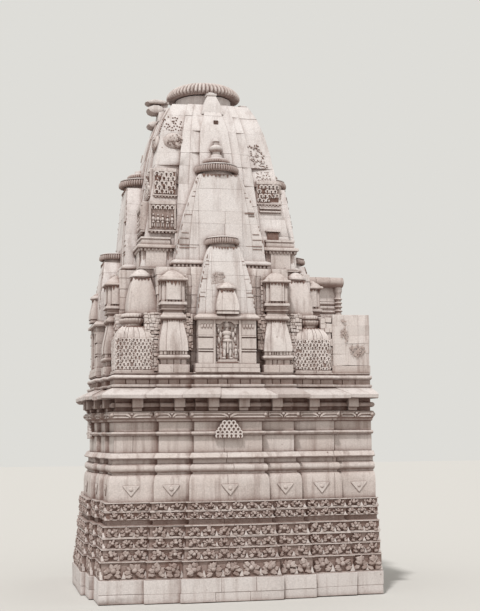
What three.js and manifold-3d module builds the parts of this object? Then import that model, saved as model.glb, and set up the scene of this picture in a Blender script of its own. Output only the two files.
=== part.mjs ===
// A small stone temple with a clustered tower, in millimetres, +Z up.
// +X points to the entrance end, -Y is the long side that is seen best, and the
// origin is on the tower's axis at ground level.
import * as THREE from "three";
import { mergeVertices } from "three/addons/utils/BufferGeometryUtils.js";
import Module from "manifold-3d";

const wasm = await Module();
wasm.setup();

// Driving dimensions of the plan
const sanctumWidth = 4400;
const half = sanctumWidth / 2;
const sideHalf = 1350; // half width of the side projection of each face
const sideOut = 90; // how far it stands out from the corner plane
const centreHalf = 675; // half width of the central projection
const centreOut = 180;
const roomHalf = sanctumWidth / 4; // the room inside is half as wide as the sanctum
const porchEnd = 3020; // end plane of the porch
const porchHalf = half - 60;
const doorHalf = 400;
const seam = 0.3; // gap between a piece and the neighbour that it is cut by

// Levels, from the ground up
const footTop = 450;
const plinthTop = 1880;
const floorTop = 1940;
const doorTop = 3420;
const wallTop = 3860;
const eaveTop = 4060;
const towerBase = 4350;
const middleBase = 5500; // foot of the middle half spires, on the niches
const largeBase = 6450; // foot of the large half spires and of the main spire
const shoulder = 10100;
const totalHeight = 10700;

// Materials
const paleStone = new THREE.MeshStandardMaterial({ color: 0xe0d3c8, roughness: 0.95, metalness: 0 });
const carvedStone = new THREE.MeshStandardMaterial({ color: 0xcbb8a9, roughness: 0.95, metalness: 0 });
const roughStone = new THREE.MeshStandardMaterial({ color: 0xbfae9f, roughness: 1, metalness: 0 });

// Outlines

// One side of a stepped square, on its +X side, from its lower corner up.
function steppedSide(h, steps) {
  const rising = [[h, -h]];
  let from = h;
  for (const step of steps) {
    rising.push([from, -step.half], [h + step.out, -step.half]);
    from = h + step.out;
  }
  const falling = rising.slice(1).reverse();
  return rising.concat(falling.map(([x, y]) => [x, -y]));
}

function turned([x, y], quarter) {
  const places = [[x, y], [-y, x], [-x, -y], [y, -x]];
  return new THREE.Vector2(...places[quarter]);
}

// A square with stepped projections on all four sides, anticlockwise.
function steppedSquare(h, steps) {
  const side = steppedSide(h, steps);
  return [0, 1, 2, 3].flatMap((quarter) => side.map((point) => turned(point, quarter)));
}

// The outline of the whole temple, grown outwards by an amount: stepped on three
// sides, with the porch on the fourth. The end of the porch, where a hall joined
// on, is almost plain.
function templeOutline(grow) {
  const h = half + grow;
  const end = porchEnd + grow / 4;
  const steps = [
    { half: sideHalf + grow, out: sideOut },
    { half: centreHalf + grow, out: centreOut },
  ];
  const side = steppedSide(h, steps);
  const porch = [
    [h, -h],
    [h, -porchHalf - grow],
    [end, -porchHalf - grow],
    [end, porchHalf + grow],
    [h, porchHalf + grow],
  ];
  const sides = [porch, side, side, side];
  return sides.flatMap((points, quarter) => points.map((point) => turned(point, quarter)));
}

function circle(radius, sides) {
  const points = [];
  for (let i = 0; i < sides; i += 1) {
    const angle = (2 * Math.PI * (i + 0.5)) / sides;
    points.push(new THREE.Vector2(radius * Math.cos(angle), radius * Math.sin(angle)));
  }
  return points;
}

function rectangle(halfX, halfY) {
  return [
    new THREE.Vector2(-halfX, -halfY),
    new THREE.Vector2(halfX, -halfY),
    new THREE.Vector2(halfX, halfY),
    new THREE.Vector2(-halfX, halfY),
  ];
}

// Solids

// A closed solid through rings of points, each ring flat at its own level.
function loft(rings) {
  const count = rings[0].points.length;
  const positions = rings.flatMap(({ points, z }) => points.flatMap((point) => [point.x, point.y, z]));
  const index = [];
  for (let ring = 0; ring < rings.length - 1; ring += 1) {
    for (let i = 0; i < count; i += 1) {
      const a = ring * count + i;
      const b = ring * count + ((i + 1) % count);
      index.push(a, b, b + count, a, b + count, a + count);
    }
  }
  const last = (rings.length - 1) * count;
  for (const [a, b, c] of THREE.ShapeUtils.triangulateShape(rings[0].points, [])) {
    index.push(c, b, a);
  }
  for (const [a, b, c] of THREE.ShapeUtils.triangulateShape(rings.at(-1).points, [])) {
    index.push(last + a, last + b, last + c);
  }
  const geometry = new THREE.BufferGeometry();
  geometry.setAttribute("position", new THREE.Float32BufferAttribute(positions, 3));
  geometry.setIndex(index);
  return geometry;
}

// The temple's outline carried up a profile of [grow, level] pairs.
function courses(profile) {
  return loft(profile.map(([grow, z]) => ({ points: templeOutline(grow), z })));
}

function box(x0, x1, y0, y1, z0, z1) {
  const geometry = new THREE.BoxGeometry(x1 - x0, y1 - y0, z1 - z0);
  return geometry.translate((x0 + x1) / 2, (y0 + y1) / 2, (z0 + z1) / 2);
}

function solid(geometry) {
  const bare = geometry.clone();
  bare.deleteAttribute("normal");
  bare.deleteAttribute("uv");
  const merged = mergeVertices(bare, 1e-3);
  return new wasm.Manifold(
    new wasm.Mesh({
      numProp: 3,
      vertProperties: merged.attributes.position.array,
      triVerts: new Uint32Array(merged.index.array),
    }),
  );
}

function geometryOf(manifold) {
  const mesh = manifold.getMesh();
  const geometry = new THREE.BufferGeometry();
  geometry.setAttribute("position", new THREE.BufferAttribute(mesh.vertProperties, 3));
  geometry.setIndex(new THREE.BufferAttribute(mesh.triVerts, 1));
  return geometry;
}

function join(...geometries) {
  return geometryOf(geometries.map(solid).reduce((a, b) => a.add(b)));
}

function cut(geometry, ...cutters) {
  return geometryOf(cutters.map(solid).reduce((a, b) => a.subtract(b), solid(geometry)));
}

function common(a, b) {
  return geometryOf(solid(a).intersect(solid(b)));
}

// Square and round stacks, from [half width, level] or [radius, level] pairs
function squareStack(profile, grow = 0) {
  return loft(profile.map(([h, z]) => ({ points: rectangle(h + grow, h + grow), z })));
}

function roundStack(profile, sides) {
  return loft(profile.map(([radius, z]) => ({ points: circle(radius, sides), z })));
}

const temple = new THREE.Group();

function add(name, geometry, material, parent = temple) {
  const mesh = new THREE.Mesh(geometry, material);
  mesh.name = name;
  parent.add(mesh);
  return mesh;
}

// Plinth: a plain foot course under a stack of carved courses
const footGrow = 340;

function addPlinth() {
  add("plinth_foot", courses([[footGrow, 0], [footGrow, footTop]]), paleStone);
  const carved = courses([
    [300, footTop],
    [300, 790],
    [265, 790],
    [265, 1020],
    [240, 1020],
    [240, 1440],
    [150, 1460],
    [150, 1530],
    [200, 1550],
    [200, plinthTop],
  ]);
  add("plinth_carved_courses", carved, carvedStone);
}

// Walls: one profile all the way round, split into the pieces that stand round
// the room, the doorway and the porch
const beyond = 4000; // past every outer face

function addWalls() {
  const profile = [
    [120, plinthTop],
    [120, 2250],
    [60, 2390],
    [95, 2460],
    [95, 2560],
    [30, 2600],
    [30, 2680],
    [110, 2700],
    [60, 2800],
    [0, 2800],
    [0, 3130],
    [70, 3130],
    [70, 3210],
    [0, 3210],
    [0, 3390],
    [50, 3400],
    [105, 3500],
    [105, 3590],
    [-20, 3600],
    [-20, wallTop],
  ];
  const ring = courses(profile);
  const low = plinthTop - 10;
  const high = wallTop + 10;
  const pieces = {
    front_wall: box(-beyond, half, -beyond, -roomHalf, low, high),
    back_wall: box(-beyond, half, roomHalf, beyond, low, high),
    left_wall: box(-beyond, -roomHalf, -roomHalf, roomHalf, low, high),
    door_wall_front: box(roomHalf, half, -roomHalf, -doorHalf, low, high),
    door_wall_back: box(roomHalf, half, doorHalf, roomHalf, low, high),
    door_lintel: box(roomHalf, half, -doorHalf, doorHalf, doorTop, high),
    porch_front_wall: box(half, beyond, -beyond, -roomHalf, low, high),
    porch_back_wall: box(half, beyond, roomHalf, beyond, low, high),
    porch_beam: box(porchEnd - 480, beyond, -roomHalf, roomHalf, doorTop, high),
  };
  for (const [name, region] of Object.entries(pieces)) {
    add(name, common(ring, region), carvedStone);
  }
  const floor = box(-roomHalf, roomHalf, -roomHalf, roomHalf, plinthTop, floorTop);
  add("sanctum_floor", floor, paleStone);
}

// Ceiling slab, with the sloping stone eaves round it
const eaveInner = -200;
const eaveOut = 285;

function addEaves() {
  const slab = courses([[eaveInner - seam, wallTop], [eaveInner - seam, eaveTop]]);
  add("ceiling_slab", slab, paleStone);
  const lip = courses([
    [60, wallTop],
    [eaveOut - 10, 3835],
    [eaveOut, 3920],
    [30, eaveTop],
  ]);
  const inner = courses([[eaveInner, wallTop - 100], [eaveInner, eaveTop + 100]]);
  const ring = cut(lip, inner);
  const split = porchHalf + eaveInner;
  const low = wallTop - 100;
  const high = eaveTop + 100;
  const pieces = {
    front_eave: box(-beyond, beyond, -beyond, -split + seam, low, high),
    back_eave: box(-beyond, beyond, split - seam, beyond, low, high),
    left_eave: box(-beyond, -roomHalf, -split + 2 * seam, split - 2 * seam, low, high),
    entrance_eave: box(half, beyond, -split + 2 * seam, split - 2 * seam, low, high),
  };
  for (const [name, region] of Object.entries(pieces)) {
    add(name, common(ring, region), paleStone);
  }
}

// Mouldings between the eaves and the tower
function addTowerMouldings() {
  const profile = [
    [30, eaveTop],
    [60, 4080],
    [60, 4115],
    [25, 4125],
    [25, 4215],
    [60, 4235],
    [60, 4285],
    [-10, 4305],
    [-10, 4330],
    [10, 4330],
    [10, towerBase],
  ];
  add("tower_base_mouldings", courses(profile), carvedStone);
}

// Main spire: half its width at a level. It leans in evenly, and then rounds off
// under the shoulder.
const spireHalf = 1620;
const spireLean = 580;
const shoulderRounding = 220;

function spireHalfAt(z) {
  const rise = (z - largeBase) / (shoulder - largeBase);
  return spireHalf - spireLean * rise - shoulderRounding * rise ** 8;
}

// The bands of the main spire's faces, in shares of its half width
function spireOutline(z, grow = 0) {
  const h = spireHalfAt(z);
  const steps = [
    { half: 0.6 * h + grow, out: 0.05 * h },
    { half: 0.28 * h + grow, out: 0.11 * h },
  ];
  return steppedSquare(h + grow, steps);
}

// The core behind the spirelets, under the main spire
const coreSideOut = 380;
const coreCentreOut = 430;
const coreFace = spireHalf + coreCentreOut;

function coreOutline(grow = 0) {
  return steppedSquare(spireHalf + grow, [
    { half: sideHalf - 10 + grow, out: coreSideOut },
    { half: centreHalf - 10 + grow, out: coreCentreOut },
  ]);
}

// Pavilions at the foot of the main spire, which stand out a little at its corners
const bandAxis = 1290;

function cornerPavilion(grow) {
  return squareStack([
    [370, largeBase],
    [370, 6490],
    [340, 6500],
    [340, 6880],
    [385, 6880],
    [385, 6940],
    [300, 6960],
    [270, 7250],
  ], grow);
}

// The knob at the top of each face's central band
function bandKnob(grow) {
  const profile = [
    [60, 9910],
    [125, 10010],
    [140, 10080],
    [100, 10140],
    [125, 10200],
    [120, 10270],
    [40, 10360],
  ];
  return roundStack(profile.map(([radius, z]) => [radius + grow, z]), 10);
}

function spireSolid(grow = 0) {
  const levels = [largeBase, 7200, 8000, 8800, 9300, 9600, 9850, 10000, shoulder];
  const rings = levels.map((z) => ({ points: spireOutline(z, grow), z: z === largeBase ? z - grow : z }));
  const corners = [[1, 1], [-1, 1], [-1, -1], [1, -1]];
  const pavilions = corners.map(([x, y]) => cornerPavilion(grow).translate(x * bandAxis, y * bandAxis, 0));
  const knobOut = 1010;
  const sides = [[1, 0], [0, 1], [-1, 0], [0, -1]];
  const knobs = sides.map(([x, y]) => bandKnob(grow).translate(x * knobOut, y * knobOut, 0));
  return join(loft(rings), ...pavilions, ...knobs);
}

function addMainSpire() {
  const core = loft([
    { points: coreOutline(), z: towerBase },
    { points: coreOutline(), z: largeBase },
  ]);
  add("tower_core", core, roughStone);
  add("main_spire", spireSolid(), paleStone);
}

// A crown disc: widest low on its rim and rounded above, with ribs when it is
// asked for them
function stoneDisc({ radius, bottom, top, sides, ribDepth = 0 }) {
  const profile = [[0.84, 0], [0.97, 0.15], [1, 0.4], [0.95, 0.7], [0.8, 1]];
  const rings = profile.map(([reach, rise]) => {
    const points = circle(radius * reach, sides);
    points.forEach((point, i) => point.multiplyScalar(i % 2 ? 1 - ribDepth : 1));
    return { points, z: bottom + (top - bottom) * rise };
  });
  return loft(rings);
}

const crownRadius = 815;
const crownBottom = 10370;

function addCrown() {
  const ledge = shoulder + 50;
  const neck = roundStack([[700, shoulder], [700, ledge], [610, ledge], [610, crownBottom]], 24);
  add("crown_neck", neck, paleStone);
  const disc = { radius: crownRadius, bottom: crownBottom, top: totalHeight, sides: 96, ribDepth: 0.03 };
  add("great_crown_disc", stoneDisc(disc), carvedStone);
}

// Half spires: small copies of the main spire that lean on each side of it.
// Each is modelled on its own axis, wide along X and shallow along Y, with -Y
// outwards.
function halfSpireOutline(halfX, halfY) {
  const bandHalf = 0.52 * halfX;
  const bandFront = -halfY - 0.06 * halfY;
  return [
    [-halfX, -halfY],
    [-bandHalf, -halfY],
    [-bandHalf, bandFront],
    [bandHalf, bandFront],
    [bandHalf, -halfY],
    [halfX, -halfY],
    [halfX, halfY],
    [-halfX, halfY],
  ].map(([x, y]) => new THREE.Vector2(x, y));
}

function halfSpireBody({ base, top, baseX, baseY, topX, topY, bend, steps }) {
  const rings = [];
  for (let i = 0; i <= steps; i += 1) {
    const share = i / steps;
    const curve = share ** bend;
    rings.push({
      points: halfSpireOutline(baseX + (topX - baseX) * curve, baseY + (topY - baseY) * curve),
      z: base + (top - base) * share,
    });
  }
  return loft(rings);
}

const largeAxis = 1380;
const largeBody = {
  base: 6640,
  top: 8480,
  baseX: 930,
  baseY: 450,
  topX: 420,
  topY: 330,
  bend: 1.5,
  steps: 4,
};
const middleAxis = 1910;
const middleBody = {
  base: middleBase,
  top: 6900,
  baseX: 580,
  baseY: 400,
  topX: 300,
  topY: 260,
  bend: 1.8,
  steps: 4,
};

const largeFinial = [
  [190, 8790],
  [100, 8900],
  [80, 8960],
  [125, 9000],
  [125, 9080],
  [60, 9160],
  [60, 9220],
  [30, 9260],
];

// With a stretch, it is the cutter for the middle half spire.
function largeHalfSpire(stretch = 1) {
  return join(
    loft([
      { points: rectangle(980, 490), z: largeBase },
      { points: rectangle(980, 490), z: 6520 },
      { points: rectangle(1030, 510), z: 6530 },
      { points: rectangle(1030, 510), z: 6610 },
      { points: rectangle(900, 440), z: 6650 },
    ]),
    halfSpireBody(largeBody),
    roundStack([[330, 8470], [330, 8510]], 16),
    stoneDisc({ radius: 470, bottom: 8500, top: 8670, sides: 24 }),
    stoneDisc({ radius: 270, bottom: 8660, top: 8800, sides: 16 }),
    roundStack(largeFinial, 12),
  ).scale(stretch, 1, 1);
}

function middleHalfSpire() {
  return join(
    halfSpireBody(middleBody),
    roundStack([[260, 6890], [260, 6930]], 16),
    stoneDisc({ radius: 355, bottom: 6920, top: 7080, sides: 20 }),
    roundStack([[230, 7070], [200, 7120], [90, 7170]], 12),
  );
}

// Heights of each face's half spires, as shares of the front's
const largeShares = { front: 1, entrance: 1, back: 1, left: 0.96 };
const middleShares = { front: 1, entrance: 0.93, back: 1, left: 0.93 };

function lowered(geometry, base, share) {
  return geometry.translate(0, 0, -base).scale(1, 1, share).translate(0, 0, base);
}

// Everything behind a half spire or a spirelet is cut away, so that it leans
// against the tower.
function coreCutter(x, y) {
  return loft([
    { points: coreOutline(seam), z: towerBase - 50 },
    { points: coreOutline(seam), z: largeBase + seam },
  ]).translate(x, y, 0);
}

function spireCutter(y) {
  return spireSolid(seam).translate(0, y, 0);
}

// Niche on the central projection, with its eave and a small spire over it,
// which is modelled at its place on the front face
const nicheFront = 2370;
const nicheHalf = 585;
const nichePanelHalf = 235;
const nicheEaveHalf = 650;
const smallAxis = 2230;

function nicheWithSpire() {
  const sill = box(-nicheEaveHalf, nicheEaveHalf, -nicheFront - 40, -coreFace - seam, towerBase, 4520);
  const body = box(-nicheHalf, nicheHalf, -nicheFront, -coreFace - seam, 4510, 5400);
  const recess = box(-nichePanelHalf, nichePanelHalf, -nicheFront - 100, -nicheFront + 90, 4560, 5340);
  const eave = loft([
    { points: rectangle(nicheHalf, 10), z: 5370 },
    { points: rectangle(nicheEaveHalf, 110), z: 5385 },
    { points: rectangle(nicheEaveHalf, 110), z: 5430 },
    { points: rectangle(nicheHalf, 20), z: middleBase - 5 },
  ]).translate(0, -nicheFront, 0);
  const bed = box(-nicheHalf - 20, nicheHalf + 20, -nicheFront + 15, -coreFace - seam, 5380, middleBase);
  const spire = squareStack([
    [235, middleBase - 10],
    [235, 5540],
    [240, 5550],
    [225, 5720],
    [180, 5880],
    [140, 5980],
  ]).translate(0, -smallAxis, 0);
  const cap = roundStack([[215, 5970], [220, 6020], [150, 6100], [50, 6150]], 12).translate(0, -smallAxis, 0);
  return join(cut(body, recess), sill, eave, bed, spire, cap);
}

// Corner stack: a latticed spirelet with a crown disc, and a plain one above
const cornerAxis = 1800;
const upperCornerAxis = 1600;

function cornerStack() {
  const shift = cornerAxis - upperCornerAxis;
  const lower = squareStack([
    [385, towerBase],
    [385, 4400],
    [375, 4410],
    [370, 4900],
    [330, 5100],
    [240, 5270],
  ]);
  const disc = roundStack([[200, 5260], [245, 5310], [260, 5370], [240, 5430], [220, 5530]], 16);
  const upper = squareStack([
    [300, 5520],
    [300, 5600],
    [295, 5850],
    [240, 6100],
    [170, 6250],
  ]).translate(shift, shift, 0);
  const cap = roundStack([[215, 6240], [225, 6300], [150, 6390], [50, 6450]], 12).translate(shift, shift, 0);
  return join(lower, disc, upper, cap);
}

// Side stack on each side projection: a moulded foot, a spirelet and a pavilion
const sideAxisAlong = 1045;
const sideAxisOut = 2000;

function sideStack() {
  return join(
    squareStack([
      [305, towerBase],
      [305, 4505],
      [270, 4510],
      [270, 4590],
      [315, 4640],
      [315, 4700],
      [305, 4780],
      [300, 4900],
      [255, 5200],
      [205, 5390],
      [240, 5400],
      [240, 5470],
      [205, 5530],
      [255, 5620],
      [255, 5740],
      [245, 5790],
      [245, 6145],
      [285, 6150],
      [285, 6190],
      [200, 6300],
      [70, 6380],
    ]),
  );
}

// Face groups: the front face's pieces, turned by quarters to the others
const quarterOf = { front: 0, entrance: 1, back: 2, left: 3 };

function faceGroup(face) {
  const group = new THREE.Group();
  group.rotation.z = (quarterOf[face] * Math.PI) / 2;
  temple.add(group);
  return group;
}

function place(mesh, x, y) {
  mesh.position.set(x, y, 0);
  return mesh;
}

const cornerNames = {
  front: "corner_stack_front_left",
  entrance: "corner_stack_front_entrance",
  back: "corner_stack_back_entrance",
  left: "corner_stack_back_left",
};

function addFace(face) {
  const group = faceGroup(face);
  const entrance = face === "entrance";
  const largeShare = largeShares[face];
  const middleShare = middleShares[face];
  const large = cut(lowered(largeHalfSpire(), largeBase, largeShare), spireCutter(largeAxis));
  place(add(`${face}_large_half_spire`, large, paleStone, group), 0, -largeAxis);

  const setBack = middleAxis - largeAxis - seam;
  const largeForCut = [-seam, seam].map((lift) =>
    lowered(largeHalfSpire(1 + seam / 450), largeBase, largeShare).translate(0, setBack, lift),
  );
  const middle = cut(
    lowered(middleHalfSpire(), middleBase, middleShare),
    coreCutter(0, middleAxis),
    spireCutter(middleAxis),
    ...largeForCut,
    ...(entrance ? [belowCutter(stubTop)] : []),
  );
  place(add(`${face}_middle_half_spire`, middle, paleStone, group), 0, -middleAxis);

  for (const [side, sign] of [["left", -1], ["right", 1]]) {
    const stack = cut(
      sideStack(),
      coreCutter(-sign * sideAxisAlong, sideAxisOut),
      ...(entrance ? [belowCutter(porchBlockTop)] : []),
    );
    place(add(`${face}_side_stack_${side}`, stack, carvedStone, group), sign * sideAxisAlong, -sideAxisOut);
  }

  if (!entrance) {
    const middleForCut = lowered(middleHalfSpire(), middleBase, middleShare);
    middleForCut.translate(0, -middleAxis - seam, 0);
    add(`${face}_niche`, cut(nicheWithSpire(), middleForCut, coreCutter(0, 0)), carvedStone, group);
  }

  const corner = cut(cornerStack(), coreCutter(cornerAxis, cornerAxis));
  place(add(cornerNames[face], corner, carvedStone, group), -cornerAxis, -cornerAxis);
}

function belowCutter(level) {
  return box(-beyond, beyond, -beyond, beyond, 0, level);
}

// Over the porch: a rough masonry block, and on it the stub of the gable that
// leaned on the tower, with a rounded slab along its top and a colonnette at
// each outer corner
const porchBlockTop = 5550;
const porchBlockHalf = 2080;
const stubWallTop = 6270;
const stubTop = 6490;
const stubHalf = 600;
const stubSlabEnd = 2940;
const colonnetteAxis = 2850;

function addPorchTop() {
  const clearOfCorners = half + 15;
  const back = coreFace + seam;
  const block = join(
    box(clearOfCorners, porchEnd + 10, -porchBlockHalf, porchBlockHalf, towerBase, porchBlockTop),
    box(back, clearOfCorners + 10, -sideHalf + 20, sideHalf - 20, towerBase, porchBlockTop),
  );
  add("porch_masonry_block", block, roughStone);

  const colonnette = roundStack([
    [70, porchBlockTop],
    [70, 5760],
    [95, 5790],
    [70, 5830],
    [95, 5870],
    [70, 5910],
    [95, 5950],
    [70, 5990],
    [80, stubWallTop + 20],
  ], 8);
  const slab = new THREE.Shape();
  const radius = (stubTop - stubWallTop) / 2;
  slab.absarc(stubHalf, stubWallTop + radius, radius, -Math.PI / 2, Math.PI / 2, false);
  slab.absarc(-stubHalf, stubWallTop + radius, radius, Math.PI / 2, (3 * Math.PI) / 2, false);
  const depth = stubSlabEnd - back;
  const roof = new THREE.ExtrudeGeometry(slab, { depth, bevelEnabled: false, curveSegments: 5 });
  roof.rotateX(Math.PI / 2).rotateZ(Math.PI / 2).translate(back, 0, 0);
  const wallHalf = stubHalf - 60;
  const stub = join(
    box(back, colonnetteAxis, -wallHalf, wallHalf, porchBlockTop, stubWallTop + 20),
    roof,
    colonnette.clone().translate(colonnetteAxis, -wallHalf, 0),
    colonnette.clone().translate(colonnetteAxis, wallHalf, 0),
  );
  add("gable_stub", stub, carvedStone);
}

addPlinth();
addWalls();
addEaves();
addTowerMouldings();
addMainSpire();
addCrown();
for (const face of Object.keys(quarterOf)) {
  addFace(face);
}
addPorchTop();

export default temple;
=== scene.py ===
# A small stone temple with a clustered tower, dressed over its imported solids.
# Metres, +Z up, +X towards the entrance end, -Y out of the side seen best.
import math
import random

import bpy
from mathutils import Matrix, Vector, noise
from mathutils.geometry import tessellate_polygon


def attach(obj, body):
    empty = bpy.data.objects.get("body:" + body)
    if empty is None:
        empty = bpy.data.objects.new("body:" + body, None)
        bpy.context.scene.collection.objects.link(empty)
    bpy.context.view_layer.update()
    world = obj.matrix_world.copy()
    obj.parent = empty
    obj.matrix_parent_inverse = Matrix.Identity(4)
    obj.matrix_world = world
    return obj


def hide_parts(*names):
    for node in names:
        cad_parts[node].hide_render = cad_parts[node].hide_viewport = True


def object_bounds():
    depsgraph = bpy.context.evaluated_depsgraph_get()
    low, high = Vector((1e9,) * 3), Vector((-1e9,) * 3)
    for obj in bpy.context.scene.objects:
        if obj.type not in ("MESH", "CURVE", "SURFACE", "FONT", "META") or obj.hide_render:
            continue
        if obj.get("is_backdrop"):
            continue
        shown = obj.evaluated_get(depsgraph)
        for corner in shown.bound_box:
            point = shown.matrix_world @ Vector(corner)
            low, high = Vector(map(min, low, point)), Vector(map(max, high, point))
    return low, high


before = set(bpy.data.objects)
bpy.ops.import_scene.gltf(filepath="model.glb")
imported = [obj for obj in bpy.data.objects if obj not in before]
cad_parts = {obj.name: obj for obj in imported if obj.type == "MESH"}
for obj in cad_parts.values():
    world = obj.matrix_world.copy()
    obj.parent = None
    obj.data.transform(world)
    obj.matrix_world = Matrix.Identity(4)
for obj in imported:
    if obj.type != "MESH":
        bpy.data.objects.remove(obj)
cad_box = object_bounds()

# Plan
HALF = 2.2  # half the shrine's width at its corners; each side steps out twice from there
SIDE_HALF = 1.35
SIDE_OUT = 0.09
CENTRE_HALF = 0.675
CENTRE_OUT = 0.18
PORCH_END = 3.02
PORCH_HALF = 2.14
ROOM_HALF = 1.1
DOOR_HALF = 0.4
FAR = 4.0  # beyond the temple on every side
SKIN = 0.006  # dressed faces stay this far inside the solids
END_WEAR = 0.015  # the entrance end has this much more room for worn faces

# Levels
FOOT_TOP = 0.45
PLINTH_TOP = 1.88
FLOOR_TOP = 1.94
DOOR_TOP = 3.42
WALL_TOP = 3.86
EAVE_TOP = 4.06
TOWER_BASE = 4.35
MIDDLE_BASE = 5.5
LARGE_BASE = 6.45
SHOULDER = 10.10
CROWN_BOTTOM = 10.37
TOTAL_HEIGHT = 10.70

FACES = ("front", "entrance", "back", "left")
GROOVE = 0.006  # half the width of a joint between blocks
ROOT = 0.02  # how far a relief reaches into the wall behind it


# Outlines

def turned(point, quarter):
    """A point turned about the tower's axis by quarter turns."""
    x, y, *rest = point
    x, y = ((x, y), (-y, x), (-x, -y), (y, -x))[quarter % 4]
    return (x, y, *rest)


def mirrored(run):
    """A run of points, then its mirror image in x, so that it comes back on the far side."""
    return run + [(-x, y) for x, y in reversed(run)]


def stepped_square(h, steps):
    """A square of half width h, stepped out on each side; steps are (half width, reach)."""
    rising = [(h, -h)]
    start = h
    for half, out in steps:
        rising += [(start, -half), (h + out, -half)]
        start = h + out
    side = rising + [(x, -y) for x, y in reversed(rising[1:])]
    return [turned(point, quarter) for quarter in range(4) for point in side]


def temple_outline(grow):
    """The whole temple's outline: stepped on three sides, with the porch on the fourth."""
    h = HALF + grow
    stepped = stepped_square(h, [(SIDE_HALF + grow, SIDE_OUT), (CENTRE_HALF + grow, CENTRE_OUT)])
    end = PORCH_END + grow / 4 - END_WEAR
    width = PORCH_HALF + grow
    porch = [(h, -h), (h, -width), (end, -width), (end, width), (h, width)]
    return porch + stepped[len(stepped) // 4:]


def rectangle(half_x, half_y, x=0.0, y=0.0):
    corners = ((-1, -1), (1, -1), (1, 1), (-1, 1))
    return [(x + i * half_x, y + j * half_y) for i, j in corners]


def ellipse(count, half_x, half_y, x, y):
    angles = [2 * math.pi * i / count for i in range(count)]
    return [(x + half_x * math.cos(angle), y + half_y * math.sin(angle)) for angle in angles]


def sides(outline):
    return zip(outline, outline[1:] + outline[:1])


def grown(outline, amount):
    """An outline moved outwards by an amount, with its corners kept."""
    count = len(outline)
    result = []
    for i, (bx, by) in enumerate(outline):
        (ax, ay), (cx, cy) = outline[i - 1], outline[(i + 1) % count]
        first = math.hypot(bx - ax, by - ay) or 1.0
        second = math.hypot(cx - bx, cy - by) or 1.0
        n1 = ((by - ay) / first, (ax - bx) / first)
        n2 = ((cy - by) / second, (bx - cx) / second)
        share = amount / max(0.35, 1 + n1[0] * n2[0] + n1[1] * n2[1])
        result.append((bx + (n1[0] + n2[0]) * share, by + (n1[1] + n2[1]) * share))
    return result


def clipped(outline, x0=-FAR, x1=FAR, y0=-FAR, y1=FAR):
    """The part of an outline inside an upright rectangle."""
    for axis, limit, sign in ((0, x0, 1), (0, x1, -1), (1, y0, 1), (1, y1, -1)):
        kept = []
        for a, b in sides(outline):
            da = (a[axis] - limit) * sign
            db = (b[axis] - limit) * sign
            if da >= 0:
                kept.append(a)
            if (da > 0 > db) or (da < 0 < db):
                t = da / (da - db)
                kept.append((a[0] + (b[0] - a[0]) * t, a[1] + (b[1] - a[1]) * t))
        outline = kept
    return outline


# Shapes, as functions of (level, grow) that give an outline

def temple(z, grow):
    return temple_outline(grow - SKIN)


def part_of_temple(region):
    return lambda z, grow: clipped(temple(z, grow), **region)


def square_at(x, y, half=0.0):
    return lambda z, grow: rectangle(half + grow, half + grow, x, y)


# Profiles, as (grow, level) pairs from the bottom up

def roll(grow, out, z0, z1, steps=6):
    """A half-round moulding."""
    angles = [math.pi * i / steps for i in range(steps + 1)]
    return [(grow + out * math.sin(a), z0 + (z1 - z0) * (1 - math.cos(a)) / 2) for a in angles]


def shoulder_curve(grow0, grow1, z0, z1, steps=5):
    """A quarter round that leans in from grow0 to grow1."""
    angles = [math.pi / 2 * i / steps for i in range(steps + 1)]
    return [(grow1 + (grow0 - grow1) * math.cos(a), z0 + (z1 - z0) * math.sin(a)) for a in angles]


# Joints between blocks

def plan_joints(outline, block, rng, wander=0.004, lift=0.0, tone=(0.35, 0.65)):
    """For each side of an outline: where it is cut into blocks, and how each block sits."""
    plan = []
    for a, b in sides(outline):
        count = max(1, round(math.dist(a, b) / block))
        cuts = [(i + rng.uniform(-0.22, 0.22)) / count for i in range(1, count)]
        seats = [
            (rng.uniform(-wander, wander), rng.uniform(-lift, lift), rng.uniform(*tone))
            for _ in range(count)
        ]
        plan.append((cuts, seats))
    return plan


def jointed(outline, plan, z, groove):
    """A ring of points along an outline, with a groove at each joint, and a tone for each."""
    ring = []
    tones = []
    for (a, b), (cuts, seats) in zip(sides(outline), plan):
        length = math.dist(a, b) or 1e-6
        tx, ty = (b[0] - a[0]) / length, (b[1] - a[1]) / length
        ends = [0.0, *cuts, 1.0]
        edge = min(groove, length * 0.2)
        for i, (stand, lift, tone) in enumerate(seats):
            for along in (ends[i] * length + edge, ends[i + 1] * length - edge):
                ring.append((a[0] + tx * along + ty * stand, a[1] + ty * along - tx * stand, z + lift))
                tones.append(tone)
            if i + 1 < len(seats):
                along = ends[i + 1] * length
                deep = groove * 1.8
                ring.append((a[0] + tx * along - ty * deep, a[1] + ty * along + tx * deep, z))
                tones.append(tone * 0.6)
    return ring, tones


# Rims of ribbed discs, as (share of the radius, share of the height) from the bottom up
ROUND_RIM = (
    (0.62, 0.08), (0.82, 0.0), (0.93, 0.07), (0.985, 0.2), (1.0, 0.38),
    (0.995, 0.58), (0.97, 0.77), (0.925, 0.91), (0.86, 0.99), (0.62, 1.0),
)
CUP_RIM = (
    (0.6, 0.12), (0.76, 0.0), (0.85, 0.12), (0.93, 0.35), (0.98, 0.6),
    (1.0, 0.8), (0.98, 0.93), (0.9, 1.0), (0.6, 1.0),
)
CAP_RIM = (
    (0.6, 0.35), (0.84, 0.08), (0.92, 0.0), (0.985, 0.15), (1.0, 0.4),
    (0.985, 0.68), (0.93, 0.9), (0.85, 1.0), (0.6, 1.0),
)
CROWN_RIM = (
    (0.62, 0.14), (0.88, 0.0), (0.965, 0.05), (1.0, 0.16), (0.995, 0.3),
    (0.96, 0.47), (0.895, 0.64), (0.8, 0.8), (0.68, 0.93), (0.5, 1.0),
)


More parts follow.
